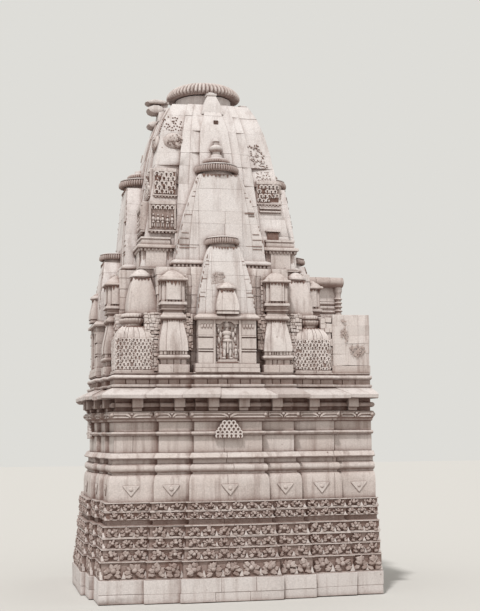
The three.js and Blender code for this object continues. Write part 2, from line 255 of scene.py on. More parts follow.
def cap_faces(ring, first):
    """Faces over a ring of points, numbered from first, facing the way the ring turns."""
    count = len(ring)
    if count < 13:
        return [tuple(range(first, first + count))]
    points = [Vector(point) for point in ring]
    facing = sum((a.cross(b) for a, b in sides(points)), Vector())
    faces = []
    for a, b, c in tessellate_polygon([points]):
        turn = (points[b] - points[a]).cross(points[c] - points[a])
        if turn.dot(facing) <= 0:
            b, c = c, b
        faces.append((first + a, first + b, first + c))
    return faces


# Stone: faces gathered for one piece

class Stone:
    """Faces and their tones: low tones turn out dark, the lowest as painted shade, and those near 1 pale,
    spared most of the dirt and painted shade.
    """

    def __init__(self, seed, quarter=0):
        self.points = []
        self.faces = []
        self.tones = []
        self.quarter = quarter
        self.rng = random.Random(seed)

    def turns(self, quarters=range(4)):
        """Turns what is added meanwhile by each of these quarters, and then no more."""
        held = self.quarter
        for turn in quarters:
            self.quarter = (held + turn) % 4
            yield turn
        self.quarter = held

    def around(self, x, y):
        """Turns to each side of a stack: where its middle lies as seen from that side."""
        for turn in self.turns():
            yield turned((x, y), -turn)

    def runs(self, outline, shortest):
        """Turns to every straight outward run of an outline: (start, end, plane) of each."""
        for quarter in self.turns():
            local = [turned(point, -quarter) for point in outline]
            for a, b in sides(local):
                if b[0] - a[0] > shortest and abs(b[1] - a[1]) < 1e-6 and a[1] < -1:
                    yield a[0], b[0], a[1]

    def add(self, points, faces, tones):
        base = len(self.points)
        self.points.extend(turned(point, self.quarter) for point in points)
        self.faces.extend([base + i for i in face] for face in faces)
        self.tones.extend(tones)

    def pick(self, low=0.35, high=0.65):
        """A value between two; without them, the tone of an ordinary face."""
        return self.rng.uniform(low, high)

    def loft(self, rings, tones=None, shade=0.5):
        """A closed skin through rings of equal count, anticlockwise from above."""
        count = len(rings[0])
        tones = tones or [shade] * count
        points = [point for ring in rings for point in ring]
        last = len(points) - count
        faces = []
        for low in range(0, last, count):
            for i in range(count):
                j = (i + 1) % count
                faces.append((low + i, low + j, low + count + j, low + count + i))
        caps = [face[::-1] for face in cap_faces(rings[0], 0)] + cap_faces(rings[-1], last)
        average = sum(tones) / count
        self.add(points, faces + caps, tones * (len(rings) - 1) + [average] * len(caps))

    def moulding(self, shape, profile, block=0.8, groove=GROOVE, foot=None, **seat):
        """A course with a moulded profile of (grow, level) pairs; shape(z, grow) is its outline."""
        plan = plan_joints(foot or shape(profile[0][1], profile[0][0]), block, self.rng, **seat)
        rings = [jointed(shape(z, grow), plan, z, groove) for grow, z in profile]
        self.loft([ring for ring, _ in rings], rings[0][1])

    def course(self, shape, z0, z1, block=0.5, groove=GROOVE, **seat):
        """One plain course of blocks."""
        profile = ((-groove, z0), (0, z0 + groove), (0, z1 - groove), (-groove, z1))
        self.moulding(shape, profile, block, groove, shape(z0, 0), **seat)

    def masonry(self, shape, z0, z1, height, block=0.5, **seat):
        """Courses of nearly equal height from z0 to z1."""
        count = max(1, round((z1 - z0) / height))
        cuts = [(i + self.pick(-0.24, 0.24)) / count for i in range(1, count)]
        levels = [z0 + (z1 - z0) * share for share in (0.0, *cuts, 1.0)]
        for low, high in zip(levels, levels[1:]):
            self.course(shape, low, high, block, **seat)

    def block(self, x0, x1, y0, y1, z0, z1, edge=0.006, shade=None):
        """A block with worn edges."""
        shade = self.pick() if shade is None else shade
        edge = min(edge, 0.3 * min(x1 - x0, y1 - y0, z1 - z0))
        rings = []
        for z, shrink in ((z0, edge), (z0 + edge, 0), (z1 - edge, 0), (z1, edge)):
            a0, a1, b0, b1 = x0 + shrink, x1 - shrink, y0 + shrink, y1 - shrink
            rings.append([
                (a0 + edge, b0, z), (a1 - edge, b0, z), (a1, b0 + edge, z), (a1, b1 - edge, z),
                (a1 - edge, b1, z), (a0 + edge, b1, z), (a0, b1 - edge, z), (a0, b0 + edge, z),
            ])
        self.loft(rings, shade=shade)

    def relief(self, outline, plane, depth, edge=0.005, shade=0.5):
        """A flat carved shape, anticlockwise in (along, level), raised from a wall's plane."""
        levels = ((outline, ROOT), (outline, edge - depth), (grown(outline, -edge), -depth))
        self.loft([[(u, plane + out, z) for u, z in shape] for shape, out in levels], shade=shade)

    def plate(self, half_u, half_z, u, z, plane, depth=0.002, edge=0.001, shade=0.0):
        """A rectangle in relief; as thin and dark as it comes, it is a hole's shade painted on the wall."""
        self.relief(rectangle(half_u, half_z, u, z), plane, depth, edge, shade)

    def dome(self, u, z, half_u, half_z, plane, depth, count=10, shade=0.5):
        """A rounded boss on a wall's plane."""
        rings = []
        for share, rise in ((1.0, -0.3), (0.95, 0.2), (0.75, 0.7), (0.4, 0.95), (0.1, 1.0)):
            outline = ellipse(count, half_u * share, half_z * share, u, z)
            rings.append([(along, plane - depth * rise, level) for along, level in outline])
        self.loft(rings, shade=shade)

    def bar(self, sections, plane, z, half_y, half_z, count, shade):
        """A round bar along a wall; sections are (along, share of its thickness)."""
        rings = [
            [(u, y, level) for y, level in ellipse(count, half_y * share, half_z * share, plane, z)]
            for u, share in sections
        ]
        self.loft(rings, shade=shade)

    def lathe(self, centre, profile, count=24, ribs=0, depth=0.0, slope=(0.0, 0.0), shade=0.5):
        """A round stack of (radius, level) pairs, ribbed where ribs are asked for."""
        count = ribs * 6 if ribs else count
        cx, cy = centre
        rings = []
        for radius, z in profile:
            ring = []
            for i in range(count):
                angle = 2 * math.pi * i / count
                groove = depth * (1 - abs(math.sin(ribs * angle / 2))) if ribs else 0.0
                reach = radius * (1 - groove)
                x = reach * math.cos(angle)
                y = reach * math.sin(angle)
                ring.append((cx + x, cy + y, z + slope[0] * x + slope[1] * y))
            rings.append(ring)
        self.loft(rings, shade=shade)

    def ribbed_disc(self, centre, radius, z0, z1, ribs, rim=ROUND_RIM, depth=0.05, **look):
        """A crown disc with a ribbed rim."""
        profile = [(radius * reach, z0 + (z1 - z0) * rise) for reach, rise in rim]
        self.lathe(centre, profile, ribs=ribs, depth=depth, **look)

    def horseshoe(self, u, z, outer, inner, plane, depth, shade, gap=55):
        """A horseshoe arch, open below by an angle in degrees: the unit of the carved nets."""
        start = math.radians(-90 + gap / 2)
        sweep = math.radians(360 - gap)
        arc = [start + sweep * i / 8 for i in range(9)]
        outline = [(u + outer * math.cos(a), z + outer * math.sin(a)) for a in arc]
        outline += [(u + inner * math.cos(a), z + inner * math.sin(a)) for a in reversed(arc)]
        self.relief(outline, plane, depth, edge=0.003, shade=shade)

    def net(self, middle, half, z0, z1, plane_at, cell, depth, share_at=lambda z: 1.0):
        """A net of interlaced horseshoe arches, some lost and some with a bud in them."""
        pick = self.pick
        columns = max(2, round(2 * half / cell))
        pitch = 2 * half / (columns + 0.5)
        rows = max(2, round((z1 - z0) / (cell * 0.86)))
        height = (z1 - z0) / rows
        for row in range(rows):
            offset = 1.0 if row % 2 else 0.5
            for column in range(columns):
                along = pitch * (column + offset + pick(-0.08, 0.08)) - half
                z = z0 + height * (row + 0.5 + pick(-0.1, 0.1))
                u = middle + along * share_at(z)
                if self.rng.random() < 0.03:
                    continue
                size = pitch * pick(0.52, 0.66)
                hole = size * pick(0.36, 0.56)
                worn = depth * pick(0.6, 1.0)
                plane = plane_at(z)
                self.horseshoe(u, z, size, hole, plane, worn, 1.0, gap=pick(30, 80))
                if self.rng.random() < 0.45:
                    self.dome(u, z, hole * 0.45, hole * 0.45, plane, worn * 0.8, count=6, shade=1.0)


# Weathering: faces wander by a few millimetres

noise.seed_set(12)  # the same wear at every run


def weathered(point, amount):
    here = Vector(point)
    broad = noise.noise_vector(here * 1.7) * (0.9 * amount)
    fine = noise.noise_vector(here * 9.0 + Vector((7.1, 3.3, 5.9))) * (0.7 * amount)
    return here + broad + fine


def make_piece(name, stone, slot, *nodes, wear=0.006):
    mesh = bpy.data.meshes.new(name)
    mesh.from_pydata([weathered(point, wear) for point in stone.points], [], stone.faces)
    mesh.validate()
    tones = mesh.attributes.new("tone", "FLOAT", "FACE")
    tones.data.foreach_set("value", stone.tones)
    mesh.polygons.foreach_set("use_smooth", [True] * len(mesh.polygons))
    mesh.set_sharp_from_angle(angle=math.radians(38))
    mesh.materials.append(MATERIALS[slot])
    piece = bpy.data.objects.new(name, mesh)
    bpy.context.scene.collection.objects.link(piece)
    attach(piece, "root")
    if nodes:
        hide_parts(*nodes)


# Materials

class Nodes:
    """A material's node tree; an input that is given a socket is linked, any other is set."""

    def __init__(self, material):
        material.use_nodes = True
        self.tree = material.node_tree
        self.tree.nodes.clear()

    def new(self, kind, inputs=(), **settings):
        node = self.tree.nodes.new(kind)
        for key, value in settings.items():
            setattr(node, key, value)
        for key, value in dict(inputs).items():
            if isinstance(value, bpy.types.NodeSocket):
                self.tree.links.new(value, node.inputs[key])
            else:
                node.inputs[key].default_value = value
        return node

    def ramp(self, value, low, high, first=0.0, second=1.0):
        """Goes from first to second while the value goes from low to high."""
        inputs = {"Value": value, "From Min": low, "From Max": high, "To Min": first, "To Max": second}
        return self.new("ShaderNodeMapRange", inputs).outputs["Result"]

    def mix(self, share, first, second, blend="MIX"):
        inputs = {0: share, 6: first, 7: second}
        return self.new("ShaderNodeMix", inputs, data_type="RGBA", blend_type=blend).outputs[2]

    def math(self, operation, first, second):
        return self.new("ShaderNodeMath", {0: first, 1: second}, operation=operation).outputs[0]

    def noise(self, vector, scale, detail=5.0, roughness=0.6):
        inputs = {"Vector": vector, "Scale": scale, "Detail": detail, "Roughness": roughness}
        return self.new("ShaderNodeTexNoise", inputs).outputs["Fac"]

    def cells(self, vector, scale):
        return self.new("ShaderNodeTexVoronoi", {"Vector": vector, "Scale": scale}).outputs["Distance"]

    def hollow(self, reach, samples):
        """How open a spot is: 0 deep in a hollow, 1 in the open."""
        inputs = {"Distance": reach}
        return self.new("ShaderNodeAmbientOcclusion", inputs, samples=samples).outputs["AO"]

    def bump(self, height, strength, distance, **more):
        inputs = {"Height": height, "Strength": strength, "Distance": distance, **more}
        return self.new("ShaderNodeBump", inputs).outputs["Normal"]


def stone_colour(n, place, light, mid, grime, grime_reach, soot_share, streaks):
    """Blocks in two colours by their tones, browned by streaks and pocks, and darkened in hollows, recesses
    and on undersides partly as dirt and partly as painted shade; the lowest tones are painted shade.
    """
    tone = n.new("ShaderNodeAttribute", attribute_name="tone").outputs["Fac"]
    base = n.mix(n.ramp(n.noise(place, 1.6), 0.35, 0.68), light, mid)
    base = n.mix(n.ramp(tone, 0.25, 0.85), n.mix(0.7, base, mid), n.mix(0.5, base, light))
    # Low tones darken towards the grime colour: older stone, and painted shade under the eaves and on the
    # ribbed caps
    base = n.mix(n.ramp(tone, 0.08, 0.32, 0.42, 0.0), base, grime)
    speckle = n.ramp(n.noise(place, 46.0, 3.0), 0.3, 0.72, 0.83, 1.1)
    shade = n.new("ShaderNodeCombineColor", {"Red": speckle, "Green": speckle, "Blue": speckle})
    base = n.mix(1.0, base, shade.outputs["Color"], "MULTIPLY")

    upright = n.new("ShaderNodeMapping", {"Vector": place, "Scale": (5.0, 5.0, 0.45)}).outputs["Vector"]
    base = n.mix(n.ramp(n.noise(upright, 1.5, 4.0), 0.5, 0.7, 0.0, streaks), base, grime)
    blotch = n.ramp(n.noise(place, 5.5, 6.0, 0.7), 0.6, 0.78, 0.0, streaks * 0.9)
    base = n.mix(blotch, base, grime)

    # Darker in tight hollows: partly dirt, partly painted shade
    hollow_dirt_and_shade = n.ramp(n.hollow(grime_reach, 6), 0.38, 0.92, 0.95, 0.0)
    # Darker deep in broad recesses: painted shade
    soot = n.ramp(n.hollow(0.5, 5), 0.12, 0.66, soot_share, 0.0)
    normal = n.new("ShaderNodeTexCoord").outputs["Normal"]
    facing = n.new("ShaderNodeSeparateXYZ", {"Vector": normal}).outputs["Z"]
    # Darker on faces turned down: partly dirt kept from the rain, partly painted shade
    underside_dirt_and_shade = n.ramp(facing, -0.7, 0.0, 0.8, 0.0)
    # The lowest tones go nearly to the dark colour: painted shade for holes, gaps and sunk grounds
    ground = n.ramp(tone, 0.02, 0.06, 0.92, 0.0)
    dirt_and_painted_shade = n.math("MAXIMUM", n.math("MAXIMUM", hollow_dirt_and_shade, soot), n.math("MAXIMUM", underside_dirt_and_shade, ground))
    uneven = n.ramp(n.noise(place, 11.0, 4.0), 0.35, 0.65, 0.72, 1.0)
    # Tones near 1 keep little of the darkening: cleaner stone with less painted shade
    darkening_kept = n.ramp(tone, 0.93, 1.0, 1.0, 0.15)
    dirt_and_painted_shade = n.math("MULTIPLY", n.math("MULTIPLY", dirt_and_painted_shade, uneven), darkening_kept)
    base = n.mix(dirt_and_painted_shade, base, grime)

    pock_place = n.ramp(n.noise(place, 2.3, 2.0), 0.5, 0.62)
    pock_mark = n.math("MULTIPLY", n.ramp(n.cells(place, 4.2), 0.045, 0.085, 0.85, 0.0), pock_place)
    return n.mix(pock_mark, base, grime)


def stone_material(name, pits, **look):
    material = bpy.data.materials.new(name)
    n = Nodes(material)
    place = n.new("ShaderNodeTexCoord").outputs["Object"]
    colour = stone_colour(n, place, **look)
    rough_noise = n.noise(place, 30.0, 4.0)
    fine = n.bump(rough_noise, 0.5, 0.006)
    pitted = n.bump(n.ramp(n.cells(place, 55.0), 0.0, 0.32), pits, 0.006, Normal=fine)
    broad = n.bump(n.noise(place, 7.0, 6.0, 0.65), 0.55, 0.022, Normal=pitted)
    shader = n.new("ShaderNodeBsdfPrincipled", {
        "Base Color": colour,
        "Normal": broad,
        "Roughness": n.ramp(rough_noise, 0.3, 0.7, 0.86, 0.97),
        "Specular IOR Level": 0.25,
    })
    n.new("ShaderNodeOutputMaterial", {"Surface": shader.outputs["BSDF"]})
    return material


MATERIALS = {
    "pale_stone": stone_material(
        "pale_stone_dressed",
        light=(0.69, 0.655, 0.645, 1),
        mid=(0.59, 0.54, 0.52, 1),
        grime=(0.19, 0.112, 0.088, 1),
        grime_reach=0.11,
        soot_share=0.45,
        streaks=0.32,
        pits=0.25,
    ),
    "carved_stone": stone_material(
        "carved_stone_dressed",
        light=(0.68, 0.63, 0.61, 1),
        mid=(0.52, 0.45, 0.42, 1),
        grime=(0.145, 0.074, 0.056, 1),
        grime_reach=0.15,
        soot_share=0.76,
        streaks=0.45,
        pits=0.35,
    ),
    "rough_stone": stone_material(
        "rough_stone_dressed",
        light=(0.70, 0.65, 0.63, 1),
        mid=(0.56, 0.485, 0.45, 1),
        grime=(0.23, 0.15, 0.125, 1),
        grime_reach=0.12,
        soot_share=0.12,
        streaks=0.7,
        pits=0.6,
    ),
}


# Plinth

FOOT_GROW = 0.34
FOOT_SKIN = 0.012  # the foot's rougher blocks need more room inside the solid
SUNK = 0.03  # a frieze's ground lies this far behind its fillets
FILLET = 0.018
PORCH_PLANE = -2.9  # planes beyond this one are the porch's end, where reliefs stay low
LEAF = ((0.5, 0.0), (0.15, 0.5), (-0.4, 0.35), (-0.4, -0.35), (0.15, -0.5))
FRIEZES = (
    # grow of the course, bottom, top, spacing of the masks
    (0.30, FOOT_TOP, 0.79, 0.36),
    (0.265, 0.79, 1.02, 0.31),
    (0.24, 1.02, 1.22, 0.28),
    (0.24, 1.22, 1.44, 0.29),
    (0.20, 1.55, 1.71, 0.25),
    (0.20, 1.71, PLINTH_TOP, 0.26),
)


def centred(count, pitch, middle=0.0):
    """Places in an even row about a middle."""
    return [middle + (i - (count - 1) / 2) * pitch for i in range(count)]


def plinth_foot():
    stone = Stone("foot")

    def shape(z, grow):
        return temple(z, FOOT_GROW + grow - FOOT_SKIN)

    stone.masonry(shape, FOOT_SKIN, FOOT_TOP, 0.225, block=0.75, wander=0.008)
    make_piece("plinth_foot_blocks", stone, "pale_stone", "plinth_foot", wear=0.01)


def frieze_ground(stone, grow, z0, z1):
    """A frieze's sunk ground between two thin fillets, painted dark as shade."""
    sunk, low, high = grow - SUNK, z0 + FILLET, z1 - FILLET
    stone.moulding(temple, [(grow, z0), (grow, low), (sunk, low + 0.004)], block=0.9)
    stone.moulding(temple, [(sunk, low), (sunk, high)], block=0.9, tone=(0.02, 0.06))
    stone.moulding(temple, [(sunk, high - 0.004), (grow, high), (grow, z1)], block=0.9)


def leaf(stone, u, z, angle, length, width, plane, depth, shade):
    """One pointed leaf in relief, lying along an angle."""
    cos, sin = math.cos(angle), math.sin(angle)
    outline = [
        (u + a * length * cos - b * width * sin, z + a * length * sin + b * width * cos)
        for a, b in LEAF
    ]
    stone.relief(outline, plane, depth, edge=width * 0.2, shade=shade)


def leaf_mask(stone, u, z, width, height, plane):
    """A worn mask of leaves: a fan round a boss, two curls below, and a pale point beside."""
    pick = stone.pick
    reach = 0.4 if plane < PORCH_PLANE else 1.0
    # Low tones on the leaves and boss: partly dark stone, partly painted shade
    for i in range(9):
        angle = math.radians(-30 + 240 * i / 8 + pick(-16, 16))
        along = u + width * pick(0.2, 0.36) * math.cos(angle)
        level = z - height * 0.06 + height * pick(0.22, 0.34) * math.sin(angle)
        angle += pick(-0.5, 0.5)
        length, broad = height * pick(0.3, 0.48), height * pick(0.2, 0.34)
        depth = reach * pick(0.02, 0.058)
        leaf(stone, along, level, angle, length, broad, plane, depth, pick(0.05, 0.24))
    stone.dome(u, z, width * 0.17, height * 0.2, plane, reach * 0.06, count=7, shade=pick(0.08, 0.3))
    for side in (-1, 1):
        along = u + side * width * pick(0.2, 0.32)
        level = z - height * pick(0.24, 0.34)
        angle = pick(-0.6, 0.6)
        depth = reach * 0.045
        leaf(stone, along, level, angle, height * 0.46, height * 0.26, plane, depth, pick(0.05, 0.24))
    peak, foot, half = u + width * 0.5, z - height * 0.44, width * 0.13
    point = [(peak - half, foot), (peak + half, foot), (peak, foot + height * 0.42)]
    stone.relief(point, plane, reach * 0.03, edge=0.006, shade=0.98)


def plinth_carved_courses():
    stone = Stone("carved courses")
    for grow, z0, z1, pitch in FRIEZES:
        frieze_ground(stone, grow, z0, z1)
        for start, end, plane in stone.runs(temple(z0, grow - SUNK), 0.25):
            length = end - start - 0.04
            count = max(1, round(length / pitch))
            for u in centred(count, length / count, (start + end) / 2):
                leaf_mask(stone, u, (z0 + z1) / 2, length / count, z1 - z0, plane)
    neck = [(0.24, 1.44), (0.15, 1.455), (0.14, 1.5), (0.15, 1.535), (0.2, 1.55)]
    stone.moulding(temple, neck, block=0.9, tone=(0.1, 0.3))
    make_piece("plinth_carved_friezes", stone, "carved_stone", "plinth_carved_courses")


# Walls

# Levels of the courses: base block, roll, ledge, belt, notched band and brackets
BASE_TOP = 2.39
ROLL_TOP = 2.6
LEDGE_TOP = 2.8
BELT_BOTTOM = 3.13
BELT_TOP = 3.21
BAND_BOTTOM = 3.395
BAND_TOP = 3.6
BASE_GROW = 0.12
BAND_GROW = 0.1
BRACKET_GROW = -0.02

PORCH_JOINT = HALF - 0.04  # inside the corner, so that every level of the walls is cut alike
WALL_REGIONS = {
    "front_wall": dict(x1=PORCH_JOINT, y1=-ROOM_HALF),
    "back_wall": dict(x1=PORCH_JOINT, y0=ROOM_HALF),
    "left_wall": dict(x1=-ROOM_HALF, y0=-ROOM_HALF, y1=ROOM_HALF),
    "door_wall_front": dict(x0=ROOM_HALF, x1=HALF, y0=-ROOM_HALF, y1=-DOOR_HALF),
    "door_wall_back": dict(x0=ROOM_HALF, x1=HALF, y0=DOOR_HALF, y1=ROOM_HALF),
    "door_lintel": dict(x0=ROOM_HALF, x1=HALF, y0=-DOOR_HALF, y1=DOOR_HALF),
    "porch_front_wall": dict(x0=PORCH_JOINT, y1=-ROOM_HALF),
    "porch_back_wall": dict(x0=PORCH_JOINT, y0=ROOM_HALF),
    "porch_beam": dict(x0=PORCH_END - 0.48, y0=-ROOM_HALF, y1=ROOM_HALF),
}


def wall_courses(stone, shape):
    base = [(BASE_GROW, PLINTH_TOP), (BASE_GROW, 2.2), *shoulder_curve(BASE_GROW, 0.05, 2.2, BASE_TOP)]
    stone.moulding(shape, base)
    stone.moulding(shape, [(0.045, BASE_TOP), (0.045, 2.43), *roll(0.05, 0.05, 2.43, 2.58), (0.03, ROLL_TOP)])
    ledge = [(0.03, ROLL_TOP), (0.03, 2.68), (0.1, 2.69), (0.11, 2.71), (0.06, LEDGE_TOP), (0, LEDGE_TOP)]
    stone.moulding(shape, ledge)
    stone.course(shape, LEDGE_TOP, BELT_BOTTOM, block=0.55)
    belt = [(0.0, BELT_BOTTOM), (0.05, 3.14), *roll(0.05, 0.02, 3.15, 3.205), (0.0, BELT_TOP)]
    stone.moulding(shape, belt)
    # The upper courses get low tones: partly stains, partly painted shade under the eaves
    stone.course(shape, BELT_TOP, BAND_BOTTOM, block=0.6, tone=(0.2, 0.5))
    band = [(0.02, BAND_BOTTOM), (0.045, 3.41), (0.05, 3.44), (0.085, 3.47), (BAND_GROW, 3.5)]
    band += [(BAND_GROW, 3.59), (0.0, BAND_TOP)]
    stone.moulding(shape, band, block=1.2, tone=(0.12, 0.3))


def walls():
    for node, region in WALL_REGIONS.items():
        stone = Stone(node)
        shape = part_of_temple(region)
        if node in ("door_lintel", "porch_beam"):
            stone.course(shape, DOOR_TOP, BAND_TOP, block=1.6)
        else:
            wall_courses(stone, shape)
        # The course under the eaves is dark: partly stained, partly painted shade under the eaves
        dark = dict(block=0.9, tone=(0.07, 0.12))
        stone.course(lambda z, g: shape(z, g + BRACKET_GROW), BAND_TOP, WALL_TOP, **dark)
        make_piece(f"{node}_blocks", stone, "carved_stone", node)


BRACKET_STEPS = (
    # bottom, top, reach and half width of each step
    (BAND_TOP, 3.67, 0.12, 0.09),
    (3.67, 3.85, 0.19, 0.105),
)


def capital(stone, start, end, plane):
    """The band's carving on one run: a notched ogee in two halves, with scroll ends."""
    middle, half = (start + end) / 2, (end - start) / 2
    wing = min(0.16, half * 0.3)
    low, mid, high = 3.5, 3.53, 3.56
    ogee = [
        (0.015, low), (wing * 0.6, high), (half - 0.07, high), (half - 0.07, mid),
        (wing, mid), (wing * 0.5, low), (0.015, low - 0.0375),
    ]
    for side in (-1, 1):
        near = [(middle + side * along, level) for along, level in ogee[::-side]]
        stone.relief(near, plane, 0.022, edge=0.004, shade=0.3)
        stone.dome(middle + side * (half - 0.045), mid, 0.04, 0.045, plane, 0.04, shade=0.26)
        stone.plate(half / 2 - 0.05, 0.012, middle + side * (half / 2), 3.485, plane, 0.012, 0.003, 0.6)
    stone.dome(middle, 3.545, 0.035, 0.03, plane, 0.03, count=8, shade=0.6)


def capital_and_brackets():
    """Carving on the band under the eaves, and bracket blocks with a roll behind them above."""
    stone = Stone("brackets")
    for start, end, plane in stone.runs(temple(BAND_TOP, BAND_GROW), 0.3):
        capital(stone, start, end, plane)
    for start, end, plane in stone.runs(temple(BAND_TOP, BRACKET_GROW), 0.3):
        count = max(1, round((end - start) / 0.58))
        for u in centred(count, (end - start) / count, (start + end) / 2):
            u += stone.pick(-0.03, 0.03)
            for low, high, out, half in BRACKET_STEPS:
                reach = min(out, 0.07) if plane < PORCH_PLANE else out
                # Dark brackets and roll: partly stained, partly painted shade under the eaves
                shade = stone.pick(0.1, 0.2)
                stone.block(u - half, u + half, plane - reach, plane + 0.03, low, high, 0.008, shade)
        stone.bar(((start, 1), (end, 1)), plane - 0.04, 3.72, 0.05, 0.05, 8, 0.2)
    make_piece("capital_carving_and_brackets", stone, "carved_stone")


def wall_carving():
    """Half diamonds on the base moulding, and a carved net on the long sides and the left."""
    stone = Stone("wall carving")
    top, low = 2.19, 2.17
    for start, end, plane in stone.runs(temple(BASE_TOP, BASE_GROW), 0.3):
        if plane < PORCH_PLANE:
            continue
        middle = (start + end) / 2
        size = min(0.16, (end - start) * 0.3)
        left, right = middle - size, middle + size
        diamond = [(left, top), (left, low), (middle, low - size * 1.2), (right, low), (right, top)]
        stone.relief(diamond, plane, 0.022, edge=0.008, shade=0.6)
        stone.dome(middle, 2.12, size * 0.3, size * 0.3, plane - 0.02, 0.016, count=8)
    ground = [(-0.27, 3.08), (0.27, 3.08), (0.24, 3.22), (0.12, 3.4), (-0.12, 3.4), (-0.24, 3.22)]
    for start, end, plane in stone.runs(temple(BELT_BOTTOM, 0), 1.0):
        if stone.quarter == 1:
            continue
        # A dark ground behind the net: painted shade in its holes
        stone.relief(ground, plane, 0.08, edge=0.004, shade=0.03)
        for row, count in enumerate((6, 6, 5, 4, 3)):
            for u in centred(count, 0.088):
                stone.horseshoe(u, 3.12 + row * 0.062, 0.052, 0.025, plane - 0.08, 0.022, shade=0.96)
    make_piece("wall_carving", stone, "carved_stone")


def floor_and_ceiling():
    stone = Stone("floor")
    half = ROOM_HALF / 4
    for x in centred(4, 2 * half):
        for y in centred(4, 2 * half):
            stone.block(x - half, x + half, y - half, y + half, PLINTH_TOP, FLOOR_TOP - 0.004, edge=0.005)
    make_piece("sanctum_floor_slabs", stone, "pale_stone", "sanctum_floor", wear=0.002)
    stone = Stone("ceiling")
    stone.course(lambda z, g: temple_outline(g - 0.21), WALL_TOP, EAVE_TOP - 0.002, block=1.1)
    make_piece("ceiling_slabs", stone, "pale_stone", "ceiling_slab", wear=0.003)


# Eaves

EAVE_BACK = 1.94  # the inner edges of the long sides' eaves
EAVE_END = EAVE_BACK - 0.0006  # where the cross eaves end, a seam away
EAVE_REGIONS = {
    "front_eave": dict(y1=-EAVE_BACK),
    "back_eave": dict(y0=EAVE_BACK),
    "left_eave": dict(x1=-2.0, y0=-EAVE_END, y1=EAVE_END),
    "entrance_eave": dict(x0=2.97, y0=-EAVE_END, y1=EAVE_END),
}
EAVE_PROFILE = (
    (0.05, 3.862), (0.2, 3.858), (0.262, 3.842), (0.276, 3.852), (0.28, 3.915),
    (0.262, 3.935), (0.15, 4.0), (0.04, 4.055), (0.0, 4.058),
)


def eaves():
    look = dict(block=0.95, groove=0.009, lift=0.014, wander=0.016, tone=(0.14, 0.34))
    for node, region in EAVE_REGIONS.items():
        stone = Stone(node)
        stone.moulding(part_of_temple(region), EAVE_PROFILE, **look)
        make_piece(f"{node}_slabs", stone, "pale_stone", node, wear=0.009)


# Mouldings under the tower

def tower_mouldings():
    stone = Stone("tower mouldings")
    pale = (0.85, 0.98)
    lower = [(0.03, 4.062), (0.05, 4.07), (0.058, 4.09), (0.058, 4.113), (0.02, 4.12)]
    upper = [(0.01, 4.215), (0.03, 4.22), *roll(0.02, 0.042, 4.222, 4.3), (-0.02, 4.305)]
    stone.moulding(temple, lower, block=0.9, tone=pale)
    stone.moulding(temple, [(0.0, 4.12), (0.0, 4.215)], block=0.24, groove=0.012, tone=(0.09, 0.26))
    stone.moulding(temple, upper, block=0.9, tone=pale)
    stone.moulding(temple, [(-0.02, 4.305), (-0.02, 4.325), (0.005, 4.333), (0.005, TOWER_BASE)], block=0.7)
    make_piece("tower_base_rolls", stone, "carved_stone", "tower_base_mouldings")


# Main spire

SPIRE_HALF = 1.62
CORE_SIDE_OUT = 0.38
CORE_CENTRE_OUT = 0.43
BAND_AXIS = 1.29  # the axes of the pavilions at the foot of the corner bands
PAINTED_GAP_SHADE = dict(count=7, shade=0.0)  # the look of a small gap: a dark dome that paints its shade


def spire_half_at(z):
    rise = (z - LARGE_BASE) / (SHOULDER - LARGE_BASE)
    return SPIRE_HALF - 0.58 * rise - 0.22 * rise ** 8


def band_plane(z):
    return -spire_half_at(z) + 0.004


def spire_outline(z, grow):
    h = spire_half_at(z)
    g = grow - SKIN
    band = min(0.28 * h, 0.29 - 0.25 * (z - 9.46))  # the middle band narrows towards its top
    return stepped_square(h + g, [(0.6 * h + g, 0.05 * h), (0.44 * h + g, 0.07 * h), (band + g, 0.11 * h)])


def tower_core():
    def shape(z, grow):
        g = grow - SKIN
        steps = [(SIDE_HALF - 0.01 + g, CORE_SIDE_OUT), (CENTRE_HALF - 0.01 + g, CORE_CENTRE_OUT)]
        return stepped_square(SPIRE_HALF + g, steps)

    stone = Stone("core")
    look = dict(block=0.3, wander=0.012, groove=0.008, tone=(0.8, 0.99))
    stone.masonry(shape, TOWER_BASE, LARGE_BASE, 0.19, **look)
    make_piece("tower_core_masonry", stone, "rough_stone", "tower_core", wear=0.012)


def notches(stone, u, half, z, count, plane, size, depth=0.012):
    """A ragged row of notches that hang from a level, thin dark reliefs that paint their shade."""
    step = 2 * half / count
    for middle in centred(count, step, u):
        drop = size * stone.pick(0.5, 1.4)
        wide = step * stone.pick(0.25, 0.52)
        stone.relief([(middle, z - drop), (middle + wide, z), (middle - wide, z)], plane, depth, 0.001, 0.0)


def fringe(stone, x, y, half, z, size, share=0.5, out=0.016):
    """Notches under a cap, painted dark as shade, on the middle band and the side facets of each side."""
    inner, rim = half * share, half - out
    for u, v in stone.around(x, y):
        notches(stone, u, inner, z, 4, v - half, size)
        for side in (-1, 1):
            facet = u + side * (inner + rim) / 2
            notches(stone, facet, (rim - inner) / 2, z + 0.01, 2, v - rim, size * 1.3)


def stain(stone, u, z, half_u, half_z, plane, count):
    """A patch of browned, flaked stone."""
    for _ in range(count):
        angle = stone.pick(0, 2 * math.pi)
        reach = stone.rng.random()
        size = stone.pick(0.008, 0.026)
        along = u + half_u * reach * math.cos(angle)
        level = z + half_z * reach * math.sin(angle)
        stone.dome(along, level, size, size * 0.8, plane, 0.0015, count=7, shade=stone.pick(0.045, 0.2))


